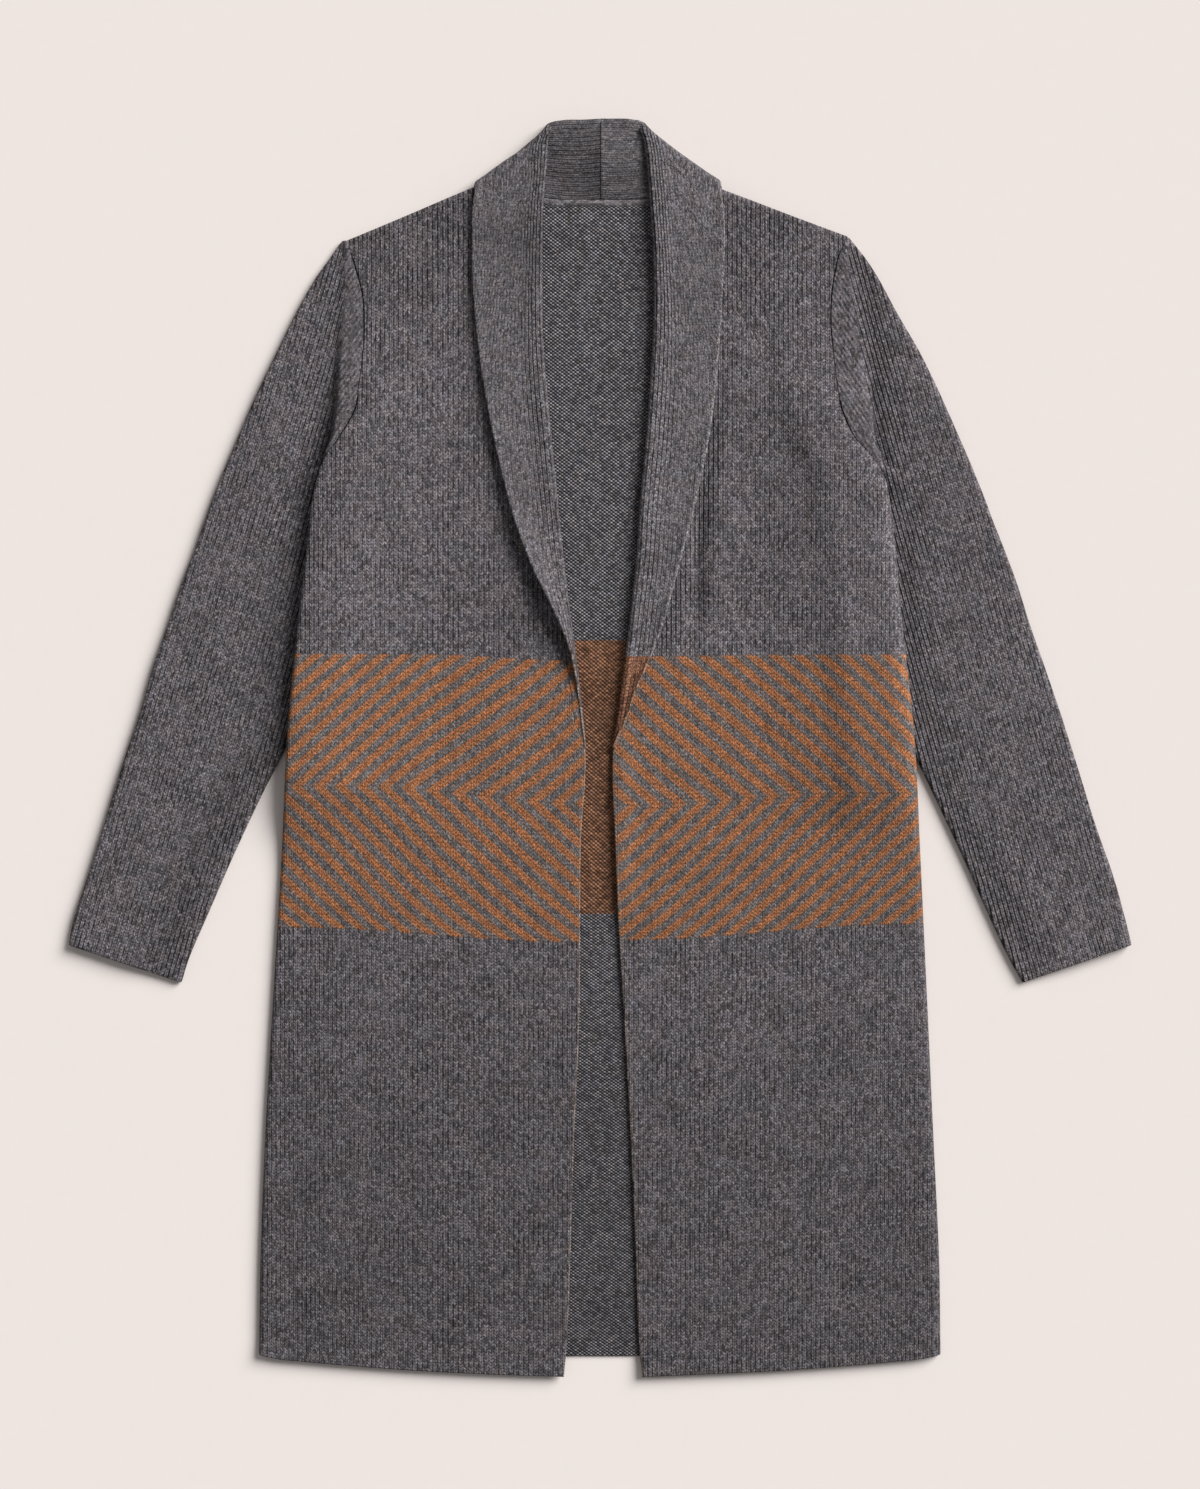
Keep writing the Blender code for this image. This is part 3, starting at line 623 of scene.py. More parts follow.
def back_points():
    """The middle of the back's wall, its counts of wales and courses, and where the ledge of the
    neck seam is."""
    rows = np.sort(np.concatenate((shares(BACK_LENGTH, GRID), 1.0 - LEDGE_ROWS / BACK_LENGTH)))
    grids = []
    for side in SIGN:
        tip = SHOULDER[side]
        y = BACK_HEM_Y + rows[:, None] * (tip.y - BACK_HEM_Y)
        share = shares(BACK_WIDTH, GRID)
        share = 2.0 * share[share > 0.5] - 1.0
        in_armhole = np.clip((y - UNDERARM_Y) / ARMHOLE_INSET_LENGTH, 0.0, 1.0)
        inset = LAYER + (ARMHOLE_GAP / 2 - LAYER) * in_armhole
        across = share * (outer_edge(side, y) - inset)
        tilt = soft_step(TILT_FROM_Y, tip.y, y)
        in_neck = across < NECK[side].across - NECK_GAP
        top_inset = np.where(in_neck, NECK_INSET, LAYER)
        top_inset = top_inset * np.clip((y - TOP_INSET_FROM_Y) / (tip.y - TOP_INSET_FROM_Y), 0, 1)
        upper = top_edge(side, share * tip.across)
        point_y = y + tilt * (upper - tip.y) - top_inset
        x = SIGN[side] * across
        grid = np.stack((x, point_y, back_height(side, x, point_y)), axis=-1)
        ledge = 1.0 - soft_step(*LEDGE_END, upper - point_y)
        grid = np.concatenate((grid, (ledge * in_neck)[..., None]), axis=-1)
        grids.append(grid[:, ::-1] if side == "left" else grid)
    points = np.concatenate(grids, axis=1)
    points, ledge = points[..., :3], points[..., 3]
    points[..., 2] += LEDGE_RISE * ledge
    wales = points[..., 0] / WALE + 0.5
    courses = back_courses(points[..., 1])
    return points, np.stack((wales, courses), axis=-1), ledge


purl = purl_side("purl_with_band", 3.0, band=True)
points, stitches, ledge = back_points()
edge = WALL / 2 + (SEAM_EDGE - WALL / 2) * (points[..., 1] > UNDERARM_Y)
back = knitted_shell("back", points, stitches, purl, knit_side("back_knit", 4.0, turn=1.0),
                     {"felt": ledge, "edge": edge})
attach(back, "root")
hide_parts("back_panel")


# ---------------------------------------------------------------------------------------------
# The sleeves.
# Two set-in sleeves of the same wool, each a tapered tube closed along the underarm, pressed
# flat with its plain cuff open. The inner part of each is tucked under the body.

SLEEVE_FOLD = 0.0031
SLEEVE_CROWN = 0.0028
STRIP_PUFF = {"left": 0.0014, "right": 0.0002}
SLEEVE_TURN = math.radians(15.7)
# The seam allowance inside keeps a strip of the sleeve's head level with the body. Its width by
# height, from the underarm up, and the length over which the cloth then drops to the sleeve.
STRIP = {
    "left": np.array([
        (0.2270, 0.0), (0.2341, 0.0012), (0.2426, 0.0045), (0.2570, 0.0108), (0.2728, 0.0136),
        (0.2900, 0.0148), (0.3299, 0.0145), (0.3600, 0.0095), (0.3800, 0.0045), (0.3994, 0.0)]),
    "right": np.array([
        (0.2161, 0.0), (0.2255, 0.0040), (0.2398, 0.0105), (0.2541, 0.0165), (0.2684, 0.0182),
        (0.2870, 0.0188), (0.3260, 0.0170), (0.3494, 0.0125), (0.3713, 0.0070), (0.3994, 0.0)])}
STRIP_DROP = {
    "left": np.array([(0.2161, 0.0014), (0.2500, 0.0029), (0.2850, 0.0050), (0.3200, 0.0085)]),
    "right": np.array([(0.2161, 0.0030), (0.2500, 0.0045), (0.2850, 0.0100), (0.3200, 0.0140)])}

# The outer fold and the inner end of each row: height, left and right, then the height off the
# surface of the fold at the underarm seam. The first rows end in the armhole.
SLEEVE_OUTER = np.array([
    (0.3990, 0.1988, 0.1942), (0.3930, 0.2036, 0.1990), (0.3806, 0.2122, 0.2086), (0.3650, 0.2231, 0.2184),
    (0.3393, 0.2375, 0.2321), (0.3104, 0.2516, 0.2488), (0.2850, 0.2640, 0.2614),
    (0.2600, 0.2752, 0.2728), (0.2400, 0.2836, 0.2815), (0.2260, 0.2896, 0.2877),
    (0.2110, 0.2960, 0.2938), (0.1950, 0.3023, 0.3003), (0.1771, 0.3089, 0.3069),
    (0.1544, 0.3167, 0.3159), (0.1271, 0.3272, 0.3260), (0.0959, 0.3377, 0.3358),
    (0.0624, 0.3494, 0.3475), (0.0257, 0.3600, 0.3600), (-0.0172, 0.3744, 0.3736),
    (-0.0601, 0.3877, 0.3869), (-0.0991, 0.3998, 0.4005), (-0.1326, 0.4107, 0.4099),
    (-0.1537, 0.4150, 0.4150)])
SLEEVE_SEWN_Y = np.array((0.3955, 0.3880, 0.3720, 0.3550, 0.3300, 0.3050, 0.2824, 0.2600, 0.2426, 0.2293))
SLEEVE_INNER = np.array([
    (0.2120, 0.2154, 0.2202, 0.0060), (0.1900, 0.2236, 0.2258, 0.0034),
    (0.1661, 0.2150, 0.2165, 0.0028), (0.1388, 0.2020, 0.2035, 0.0028),
    (0.1115, 0.1990, 0.2000, 0.0028), (0.0803, 0.2085, 0.2080, 0.0028),
    (0.0452, 0.2246, 0.2231, 0.0028), (0.0078, 0.2414, 0.2395, 0.0028),
    (-0.0367, 0.2640, 0.2605, 0.0028), (-0.0835, 0.2859, 0.2824, 0.0028),
    (-0.1264, 0.3046, 0.3015, 0.0028), (-0.1615, 0.3198, 0.3179, 0.0028),
    (-0.1833, 0.3268, 0.3299, 0.0028)])
SEWN_FOLD_HEIGHT = 0.0080
# The grid: rows up the head and along the arm, more of them at both ends, and columns across.
HEAD_ROWS, ARM_ROWS, SLEEVE_COLUMNS = 86, 130, 58
FIRST_ROWS = [0.003, 0.01, 0.025]
CUFF_ROWS = np.array((0.030, 0.015, 0.008, 0.003))
CROWDING = 1.4
INNER_TURNS = np.radians((0.0, 12.0, 25.0, 45.0, 65.0, 90.0))
OUTER_TURNS = np.radians((15.0, 30.0, 45.0, 60.0, 75.0))
# The least gap between two layers, and the most of the sleeve's width that a form may take up.
CLEAR = 0.0004
FOLD_SHARE, STRIP_SHARE, SETTLE_SHARE = 0.25, 0.4, 0.8
SETTLE_LENGTH = 0.045
SEAM_SHARE = 0.4
TUCK_CLEAR = 0.002
# How much of the crown rises at once past the body, and over which lengths the two parts rise.
CROWN_NEAR = {"left": 0.15, "right": 0.65}
CROWN_LENGTHS = (0.012, 0.050)
# The gutters between the wales open beside the body. Below the left underarm the sleeve has painted shade
# beside the body, where the body's shadow falls.
SLEEVE_OPENNESS = 0.10
OPEN_SLEEVE = {"left": 0.45, "right": 0.95}
OPEN_PLACE = 0.012
OPEN_INWARDS, OPEN_OUTWARDS = 0.007, 0.019
SLEEVE_SHADE = {"left": 0.24, "right": 0.0}
SLEEVE_SHADE_Y = (0.110, 0.180)
SHADE_PLACE, SHADE_WIDTH = 0.022, 0.020
# Painted highlight on the right sleeve's strip by the armhole seam, which faces the lamp.
STRIP_SHADE = {"left": 0.0, "right": -0.12}
HATCH_END = (0.001, 0.005)
SLEEVE_CREASES = {
    "left": [Crease(-0.262, 0.160, -0.330, -0.050, 0.014, 0.0010)],
    "right": [Crease(0.300, -0.055, 0.352, -0.160, 0.012, 0.0016)]}


def sleeve_points(side):
    """Rings round the flattened sleeve, over the upper layer from the inner end to the outer fold
    and back along the lower layer."""
    column = LEFT_RIGHT[side]
    sewn_rows = len(SLEEVE_SEWN_Y)
    count = len(SLEEVE_OUTER)
    numbers = np.arange(count, dtype=float)
    head = np.linspace(0.0, sewn_rows, HEAD_ROWS)
    arm = np.linspace(sewn_rows, count - 1, ARM_ROWS)[1:]
    rows = np.sort(np.concatenate((head, FIRST_ROWS, arm, count - 1 - CUFF_ROWS)))
    joined_from = int(np.argmin(abs(rows - sewn_rows)))
    sewn_x = outer_edge(side, SLEEVE_SEWN_Y)
    inner_y = np.concatenate((SLEEVE_SEWN_Y, SLEEVE_INNER[:, 0]))
    inner_x = np.concatenate((sewn_x, SLEEVE_INNER[:, column]))
    inner = np.stack([through(numbers, v, rows) for v in (inner_x, inner_y)], axis=-1)
    on_seam = rows <= sewn_rows - 1
    inner[on_seam, 0] = outer_edge(side, inner[on_seam, 1])
    outer = np.stack([through(numbers, SLEEVE_OUTER[:, c], rows) for c in (column, 0)], axis=-1)
    outer[:, 1] = np.minimum(outer[:, 1], SHOULDER[side].y - CLEAR)
    sewn = np.clip(sewn_rows - rows, 0.0, 1.0)
    tucked = np.maximum(0.0, outer_edge(side, inner[:, 1]) - inner[:, 0])
    across = outer - inner
    across /= np.linalg.norm(across, axis=1, keepdims=True)
    inner = inner + across * (ARMHOLE_GAP / 2 * sewn + LOWEST * (1.0 - sewn))[:, None]
    outer = outer - across * LOWEST
    width = np.linalg.norm(outer - inner, axis=1)
    fold_height = np.concatenate((np.full(sewn_rows, SEWN_FOLD_HEIGHT), SLEEVE_INNER[:, 3]))
    fold_height = np.interp(rows, numbers, fold_height)
    body = back_height(side, inner[:, 0], inner[:, 1])
    high_end = sewn * (body + FRONT_RISE) + (1.0 - sewn) * (fold_height + SLEEVE_FOLD / 2)
    low_end = sewn * body + (1.0 - sewn) * (fold_height - SLEEVE_FOLD / 2)
    strip = np.minimum(np.interp(inner[:, 1], STRIP[side][:, 0], STRIP[side][:, 1]), STRIP_SHARE * width)
    settle_from = strip * sewn
    loose = np.minimum(SETTLE_LENGTH, SETTLE_SHARE * width)
    drop_length = np.interp(inner[:, 1], STRIP_DROP[side][:, 0], STRIP_DROP[side][:, 1])
    at_seam = np.clip(sewn / SEAM_SHARE, 0.0, 1.0)
    settle = loose + (np.minimum(strip + drop_length, SETTLE_SHARE * width) - loose) * at_seam

    def layers(distance):
        """The heights of the upper and the lower layer at distances from the inner end."""
        clear_from = sewn * settle + (1.0 - sewn) * (tucked + TUCK_CLEAR)
        near, far = [soft_step(clear_from, clear_from + length, distance.T).T
                     for length in CROWN_LENGTHS]
        clear = CROWN_NEAR[side] * near + (1.0 - CROWN_NEAR[side]) * far
        upper = LOWEST + SLEEVE_FOLD + SLEEVE_CROWN * clear
        held = 1.0 - soft_step(settle_from, settle, distance.T).T
        low_settle = at_seam * settle + (1.0 - at_seam) * loose
        low_held = 1.0 - soft_step(0.0, low_settle, distance.T).T
        lower = LOWEST + low_held * (low_end[:, None] - LOWEST)
        puff = soft_step(0.0, 0.6 * strip + 0.001, distance.T).T * sewn[:, None]
        high = high_end[:, None] + STRIP_PUFF[side] * puff
        upper = np.maximum(upper + held * (high - upper), lower + WALL + CLEAR)
        return upper, lower

    fold = np.minimum(SLEEVE_FOLD / 2, FOLD_SHARE * width)[:, None]
    end_distance = fold * (1.0 - np.cos(INNER_TURNS))
    pinch = SLEEVE_FOLD / 2 * (1.0 - np.sin(INNER_TURNS)) * (1.0 - sewn)[:, None]
    upper_end, lower_end = layers(end_distance)
    edge_upper, edge_lower = layers(width[:, None])
    outer_fold = np.minimum((edge_upper - edge_lower) / 2, FOLD_SHARE * width[:, None])
    flat = np.linspace(0.0, 1.0, SLEEVE_COLUMNS)[1:] ** CROWDING
    distance = fold + flat * (width[:, None] - fold - outer_fold)
    upper, lower = layers(distance)
    middle, half = (upper[:, -1:] + lower[:, -1:]) / 2, (upper[:, -1:] - lower[:, -1:]) / 2
    bend_distance = width[:, None] - outer_fold + outer_fold * np.sin(OUTER_TURNS)
    high = np.concatenate((upper_end - pinch, upper, middle + half * np.cos(OUTER_TURNS)), axis=1)
    low = np.concatenate((lower_end + pinch, lower, middle - half * np.cos(OUTER_TURNS)), axis=1)
    reach = np.concatenate((end_distance, distance, bend_distance), axis=1)
    ring_reach = np.concatenate((reach, width[:, None], reach[:, ::-1]), axis=1)
    ring_height = np.concatenate((high, middle, low[:, ::-1]), axis=1)
    flat_place = inner[:, None, :] + across[:, None, :] * ring_reach[..., None]
    points = np.concatenate((flat_place, ring_height[..., None]), axis=2)
    points[..., 0] *= SIGN[side]
    upper_count = high.shape[1]
    points[:, :upper_count] = creased(points[:, :upper_count], SLEEVE_CREASES[side])
    turn = SLEEVE_TURN * SIGN[side]
    u = points[..., 0] * math.cos(turn) + points[..., 1] * math.sin(turn)
    v = points[..., 1] * math.cos(turn) - points[..., 0] * math.sin(turn)
    u_fold = u[:, upper_count : upper_count + 1]
    u[:, upper_count + 1 :] = 2 * u_fold - u[:, upper_count + 1 :]
    stitches = np.stack((u / WALE, v / CHEST_COURSE), axis=-1)
    seam_edge = np.interp(inner[:, 1], ARMHOLE_EDGE[:, 0], ARMHOLE_EDGE[:, column])
    edge = np.where(rows < sewn_rows, seam_edge, WALL / 2)[:, None] * np.ones(points.shape[:2])
    from_body = ring_reach - (sewn * (strip + OPEN_PLACE) + (1.0 - sewn) * tucked)[:, None]
    open_width = np.where(from_body < 0.0, OPEN_INWARDS, OPEN_OUTWARDS)
    openness = SLEEVE_OPENNESS + OPEN_SLEEVE[side] * np.exp(-((from_body / open_width) ** 2))
    # Painted shade beside the body on the left sleeve, and painted highlight on the right sleeve's strip.
    low = 1.0 - soft_step(*SLEEVE_SHADE_Y, inner[:, 1:2])
    shade = SLEEVE_SHADE[side] * low * np.exp(-(((from_body - SHADE_PLACE) / SHADE_WIDTH) ** 2))
    hatch = 1.0 - soft_step(strip + HATCH_END[0], strip + HATCH_END[1], ring_reach.T).T
    hatch = hatch * sewn[:, None]
    shade = shade + STRIP_SHADE[side] * hatch
    measures = {"edge": edge, "openness": openness, "hatch": hatch, "shade": shade}
    return points, stitches, measures, joined_from


def turned(points, stitches, measures):
    """The same grid with its columns the other way round, so that its outside is up."""
    measures = {name: value[:, ::-1] for name, value in measures.items()}
    return points[:, ::-1], stitches[:, ::-1], measures


sleeve_knit = knit_side("sleeve_knit", 11.0, fade=0.0, hatched=True)
sleeve_purl = purl_side("sleeve_purl", 12.0)
for side in SIGN:
    points, stitches, measures, joined_from = sleeve_points(side)
    if side == "right":
        points, stitches, measures = turned(points, stitches, measures)
    sleeve = knitted_shell("sleeve_" + side + "_knit", points, stitches, sleeve_knit, sleeve_purl,
                           measures, joined_from)
    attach(sleeve, "root")
    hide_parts("sleeve_" + side)


# ---------------------------------------------------------------------------------------------
# The fronts.
# Two panels of the same wool with a band of rust chevrons knitted in, sewn to the back along
# sides and shoulders. Their side edges roll over the edge of the back, which hides the seams.

EDGE_ROLL = 0.0024
SIDE_ROLL = {"left": 0.0024, "right": 0.0052}
EDGE_CLEAR = 0.0006
HEM_LOFT = 0.0013
HEM_LOFT_WIDTH = 0.016
FRONT_TOP_INSET = 0.0056
FRONT_GRID = 0.0031
FRONT_WIDTH = 0.25
ROLL_COLUMNS = 7
FRONT_EDGE = np.array([
    (-0.4891, 0.0280, 0.0330), (-0.4618, 0.0257, 0.0300), (-0.4048, 0.0234, 0.0281),
    (-0.3050, 0.0203, 0.0238), (-0.2184, 0.0164, 0.0191), (-0.1326, 0.0156, 0.0140),
    (-0.0702, 0.0148, 0.0117), (-0.0257, 0.0117, 0.0097), (0.0000, 0.0117, 0.0106),
    (0.0100, 0.0158, 0.0160), (0.0203, 0.0205, 0.0217)])
# The wales at places across, from a rust one on.
WALES = {
    "left": np.array([(-0.2760, -15.8), (-0.2225, 0.0), (-0.1539, 20.0), (-0.0948, 35.0), (-0.0369, 50.0),
                      (-0.0050, 58.8)]),
    "right": np.array([(0.0050, -4.8), (0.0224, 0.0), (0.1138, 25.0), (0.1857, 45.0), (0.2348, 60.0),
                       (0.2760, 72.1)])}
HEM_DIP = np.array([
    (0.0280, 0.0172, 0.0176), (0.0780, 0.0156, 0.0154), (0.1400, 0.0127, 0.0125),
    (0.2030, 0.0080, 0.0078), (0.2340, 0.0052, 0.0050), (0.2500, 0.0036, 0.0034),
    (0.2662, 0.0000, 0.0000)])
# The heights at the side edge of courses that are counted from the band's middle, and how far
# each drops on its way to the front edge.
Course = namedtuple("Course", "number y drop")
COURSES = {
    "left": [Course(-175, HEM_Y, 0.0172), Course(-35, -0.1401, 0.0113), Course(0, -0.0299, 0.0132),
             Course(35, 0.0730, 0.0046), Course(60, 0.1375, 0.0), Course(160, 0.3962, 0.0)],
    "right": [Course(-175, HEM_Y, 0.0176), Course(-35, -0.1374, 0.0125), Course(0, -0.0354, 0.0096),
              Course(35, 0.0725, 0.0013), Course(60, 0.1375, 0.0), Course(161, 0.3994, 0.0)]}
# One grey for both fronts, painted lighter on the right front, towards the lamp, and darker on the left:
# painted light and shade.
FRONT_GREY_LIT_AND_SHADED = {"left": (0.1020, 0.0915, 0.0985), "right": (0.1075, 0.0965, 0.1040)}
# The pale line along each front edge, stronger on the left front, whose edge faces the lamp: partly the
# knitted edge, partly painted highlight.
FRONT_PALE_EDGE_AND_HIGHLIGHT = {"left": 0.8, "right": 0.35}
SELVEDGE_WIDTH = {"left": 0.0010, "right": 0.0030}
SELVEDGE_TO_Y = (0.036, 0.020)
# The gutters between the wales open at the shoulder, along the side and beside the lapel, and
# less in the lower part. Each lies between two heights or two shares of the way to the side.
SHOULDER_OPENNESS, SHOULDER_OPEN_Y = 0.38, (0.29, 0.40)
SIDE_OPENNESS, SIDE_OPEN_ACROSS = {"left": 0.36, "right": 0.12}, (0.80, 0.95)
LOW_OPENNESS, LOW_OPEN_Y = 0.30, (-0.16, -0.04)
OPEN_BY_LAPEL = {"left": 0.25, "right": 0.95}
BY_LAPEL_PLACE, BY_LAPEL_WIDTH = 0.007, 0.009
BY_LAPEL_Y = (0.060, 0.100), (0.220, 0.300)
# Painted highlight along the right front's side edge, which faces the lamp: a shade below 0 lightens.
SIDE_SHADE = {"left": 0.0, "right": -0.26}
SIDE_SHADE_ACROSS = (0.935, 0.985)
SIDE_SHADE_Y = (-0.10, -0.02), (0.195, 0.230)
# How the rows bend: by the shape of the hem at first, and then by a curve that starts further
# from the side towards the top of the band.
HEM_SHAPED = (-175.0, -60.0)
BEND_START, BEND_END = (0.05, 0.50), 0.97
# Sections of the collar from the shoulder down: the heights of the roll line, of the free edge and
# of the seam.
COLLAR_Y = np.array([
    (0.4742, 0.4165, 0.4384), (0.4547, 0.3947, 0.4212), (0.4274, 0.3689, 0.3978), (0.3923, 0.3401, 0.3689),
    (0.3494, 0.3104, 0.3354), (0.3026, 0.2753, 0.2948), (0.2480, 0.2324, 0.2449), (0.1934, 0.1856, 0.1919),
    (0.1466, 0.1443, 0.1466), (0.1076, 0.1061, 0.1076), (0.0764, 0.0764, 0.0764), (0.0452, 0.0452, 0.0452),
    (0.0203, 0.0203, 0.0203), (0.0100, 0.0100, 0.0100), (0.0005, 0.0005, 0.0005)])
# How far each of the three is from the centre line, and the free edge off the front.
COLLAR_ACROSS = {
    "left": np.array([
        (0.0406, 0.0998, 0.0679, 0.0), (0.0417, 0.0998, 0.0671, 0.0004), (0.0441, 0.0998, 0.0655, 0.0008),
        (0.0452, 0.0979, 0.0632, 0.0010), (0.0452, 0.0948, 0.0601, 0.0015), (0.0433, 0.0897, 0.0546, 0.0025),
        (0.0382, 0.0811, 0.0484, 0.0036), (0.0328, 0.0694, 0.0413, 0.0056), (0.0281, 0.0546, 0.0359, 0.0086),
        (0.0234, 0.0359, 0.0315, 0.0125), (0.0191, 0.0234, 0.0272, 0.0080), (0.0148, 0.0176, 0.0230, 0.0012),
        (0.0121, 0.0146, 0.0200, 0.0), (0.0116, 0.0132, 0.0156, 0.0), (0.0112, 0.0117, 0.0120, 0.0)]),
    "right": np.array([
        (0.0343, 0.0967, 0.0647, 0.0), (0.0367, 0.0975, 0.0640, 0.0005), (0.0390, 0.0963, 0.0632, 0.0010),
        (0.0413, 0.0948, 0.0616, 0.0010), (0.0421, 0.0928, 0.0585, 0.0010), (0.0402, 0.0897, 0.0538, 0.0015),
        (0.0363, 0.0835, 0.0476, 0.0020), (0.0312, 0.0733, 0.0413, 0.0025), (0.0281, 0.0624, 0.0363, 0.0030),
        (0.0238, 0.0523, 0.0320, 0.0035), (0.0203, 0.0421, 0.0284, 0.0040), (0.0164, 0.0285, 0.0246, 0.0040),
        (0.0133, 0.0195, 0.0212, 0.0030), (0.0116, 0.0150, 0.0160, 0.0020), (0.0104, 0.0109, 0.0112, 0.0008)])}
# So many of them lie where the collar's seam is the edge of the front.
SEAM_SECTIONS = 13
COLLAR_END_Y = 0.0005

FRONT_CREASES = {
    "left": [Crease(-0.100, 0.215, -0.060, 0.150, 0.016, -0.0006)],
    "right": [Crease(0.079, 0.205, 0.073, 0.082, 0.0060, -0.0034),
              Crease(0.096, 0.235, 0.088, 0.075, 0.010, 0.0014),
              Crease(0.017, 0.010, 0.014, -0.140, 0.010, 0.0032)]}


def inner_edge(side, y):
    """The front edge below the collar, and the collar's seam above it."""
    seam_y = np.append(COLLAR_Y[:SEAM_SECTIONS, 2][::-1], NECK[side].y)
    seam_x = np.append(COLLAR_ACROSS[side][:SEAM_SECTIONS, 2][::-1], NECK[side].across)
    return np.where(y < seam_y[0], through(FRONT_EDGE[:, 0], FRONT_EDGE[:, LEFT_RIGHT[side]], y),
                    through(seam_y, seam_x, y) + NECK_GAP / 2)


def front_points(side):
    """The middle of the wall of a front. Rows follow its courses, which drop towards the front
    edge, and its side edge rolls down over the back."""
    tip, neck = SHOULDER[side], NECK[side]
    courses = COURSES[side]
    numbers = np.array([float(c.number) for c in courses])
    heights = np.array([c.y for c in courses])
    total = tip.y - HEM_Y - FRONT_TOP_INSET
    number = np.interp(HEM_Y + shares(total, FRONT_GRID, end=False) * total, heights, numbers)
    number = np.append(number, numbers[-1])
    y = through(numbers, heights, number)
    drop = through(numbers, np.array([c.drop for c in courses]), number)

    def rolled_edge(radius):
        """How far the columns of a rolled edge lie inside it, and how far down."""
        last_turn = math.acos(1.0 - min(1.0, (FRONT_RISE - EDGE_CLEAR) / radius))
        turns = np.linspace(0.0, last_turn, ROLL_COLUMNS)
        inset = LOWEST + radius * (math.sin(last_turn) - np.sin(turns))
        drop = radius * (1.0 - np.cos(turns))
        rest = np.linspace(drop[-1], FRONT_RISE, 4)[1:]
        return np.append(inset, np.full(len(rest), LOWEST)), np.append(drop, rest)

    row_inset, row_drop = [np.concatenate((np.zeros(len(y) - 1), v)) for v in rolled_edge(EDGE_ROLL)]
    roll_inset, roll_drop = rolled_edge(SIDE_ROLL[side])
    extra = len(roll_inset) - 1
    number = np.append(number, np.full(extra, number[-1]))[:, None]
    y = np.append(y, np.full(extra, y[-1]))[:, None]
    drop = np.append(drop, np.zeros(extra))[:, None]
    inner_y = y + (neck.y - tip.y) * soft_step(TILT_FROM_Y, tip.y, y)
    outer = outer_edge(side, y)
    inner = inner_edge(side, inner_y - drop)
    rolled = np.clip((UNDERARM_Y - y) / (UNDERARM_Y - SEWN_FROM_Y), 0.0, 1.0)
    sewn_inset = ARMHOLE_GAP / 2 + np.linspace(1.5, 0.0, len(roll_inset)) * EDGE_ROLL
    sewn_inset = sewn_inset + np.interp(y, PLEAT_GAP[:, 0], PLEAT_GAP[:, 1])
    side_inset = rolled * roll_inset + (1.0 - rolled) * sewn_inset
    side_drop = rolled * roll_drop
    level_end = outer - side_inset[:, :1]
    share = shares(FRONT_WIDTH, FRONT_GRID, end=False)[:-1]
    across = inner + share * (level_end - inner)
    across = np.concatenate((across, outer - side_inset), axis=1)
    fall_off = np.concatenate((np.zeros((len(y), len(share))), side_drop), axis=1)
    reach = np.clip((across - inner) / (outer - inner), 0.0, 1.0)
    dip_column = LEFT_RIGHT[side]
    hem_shape = through(HEM_DIP[:, 0], HEM_DIP[:, dip_column], across) / HEM_DIP[0, dip_column]
    bend_start = np.interp(number, (-BAND_ROWS, BAND_ROWS), BEND_START)
    bend = soft_step(bend_start, BEND_END, 1.0 - reach)
    shape = hem_shape + soft_step(*HEM_SHAPED, number) * (bend - hem_shape)
    point_y = inner_y + (y - inner_y) * reach - row_inset[:, None] - drop * shape
    x = SIGN[side] * across
    height = back_height(side, x, point_y) + FRONT_RISE - np.maximum(fall_off, row_drop[:, None])
    height = height + HEM_LOFT * (1.0 - soft_step(0.0, HEM_LOFT_WIDTH, y - HEM_Y))
    points = np.stack((x, point_y, height), axis=-1)
    points = creased(points, FRONT_CREASES[side])
    wales = through(WALES[side][:, 0], WALES[side][:, 1], x) + SIGN[side] * fall_off / WALE
    count = number + row_drop[:, None] / CHEST_COURSE
    stitches = np.stack((wales, count * np.ones_like(x)), axis=-1)
    up = points[..., 1]
    edge = np.interp(up, ARMHOLE_EDGE[:, 0], ARMHOLE_EDGE[:, LEFT_RIGHT[side]])
    edge = np.where((up > UNDERARM_Y) & (reach > 0.5), edge, WALL / 2)
    edge = np.where((up > COLLAR_END_Y) & (reach < 0.5), SEAM_EDGE, edge)
    # Pale line along the front edge, partly painted highlight.
    selvedge_and_highlight = 1.0 - soft_step(0.0002, SELVEDGE_WIDTH[side], across - inner)
    selvedge_and_highlight = selvedge_and_highlight * soft_step(*SELVEDGE_TO_Y, up) * FRONT_PALE_EDGE_AND_HIGHLIGHT[side]
    at_shoulder = SHOULDER_OPENNESS * soft_step(*SHOULDER_OPEN_Y, up)
    openness = np.maximum(at_shoulder, SIDE_OPENNESS[side] * soft_step(*SIDE_OPEN_ACROSS, reach))
    openness = openness * (LOW_OPENNESS + (1.0 - LOW_OPENNESS) * soft_step(*LOW_OPEN_Y, up))
    free_edge = np.interp(up, COLLAR_Y[::-1, 1], COLLAR_ACROSS[side][::-1, 1])
    beside = np.exp(-((across - free_edge - BY_LAPEL_PLACE) / BY_LAPEL_WIDTH) ** 2)
    beside = beside * soft_step(*BY_LAPEL_Y[0], up) * (1.0 - soft_step(*BY_LAPEL_Y[1], up))
    openness = np.maximum(openness, OPEN_BY_LAPEL[side] * beside)
    # Painted highlight along the right side edge.
    shade = SIDE_SHADE[side] * soft_step(*SIDE_SHADE_ACROSS, reach) * soft_step(*SIDE_SHADE_Y[0], up)
    shade = shade * (1.0 - soft_step(*SIDE_SHADE_Y[1], up))
    return points, stitches, {"edge": edge, "selvedge_and_highlight": selvedge_and_highlight, "openness": openness, "shade": shade}


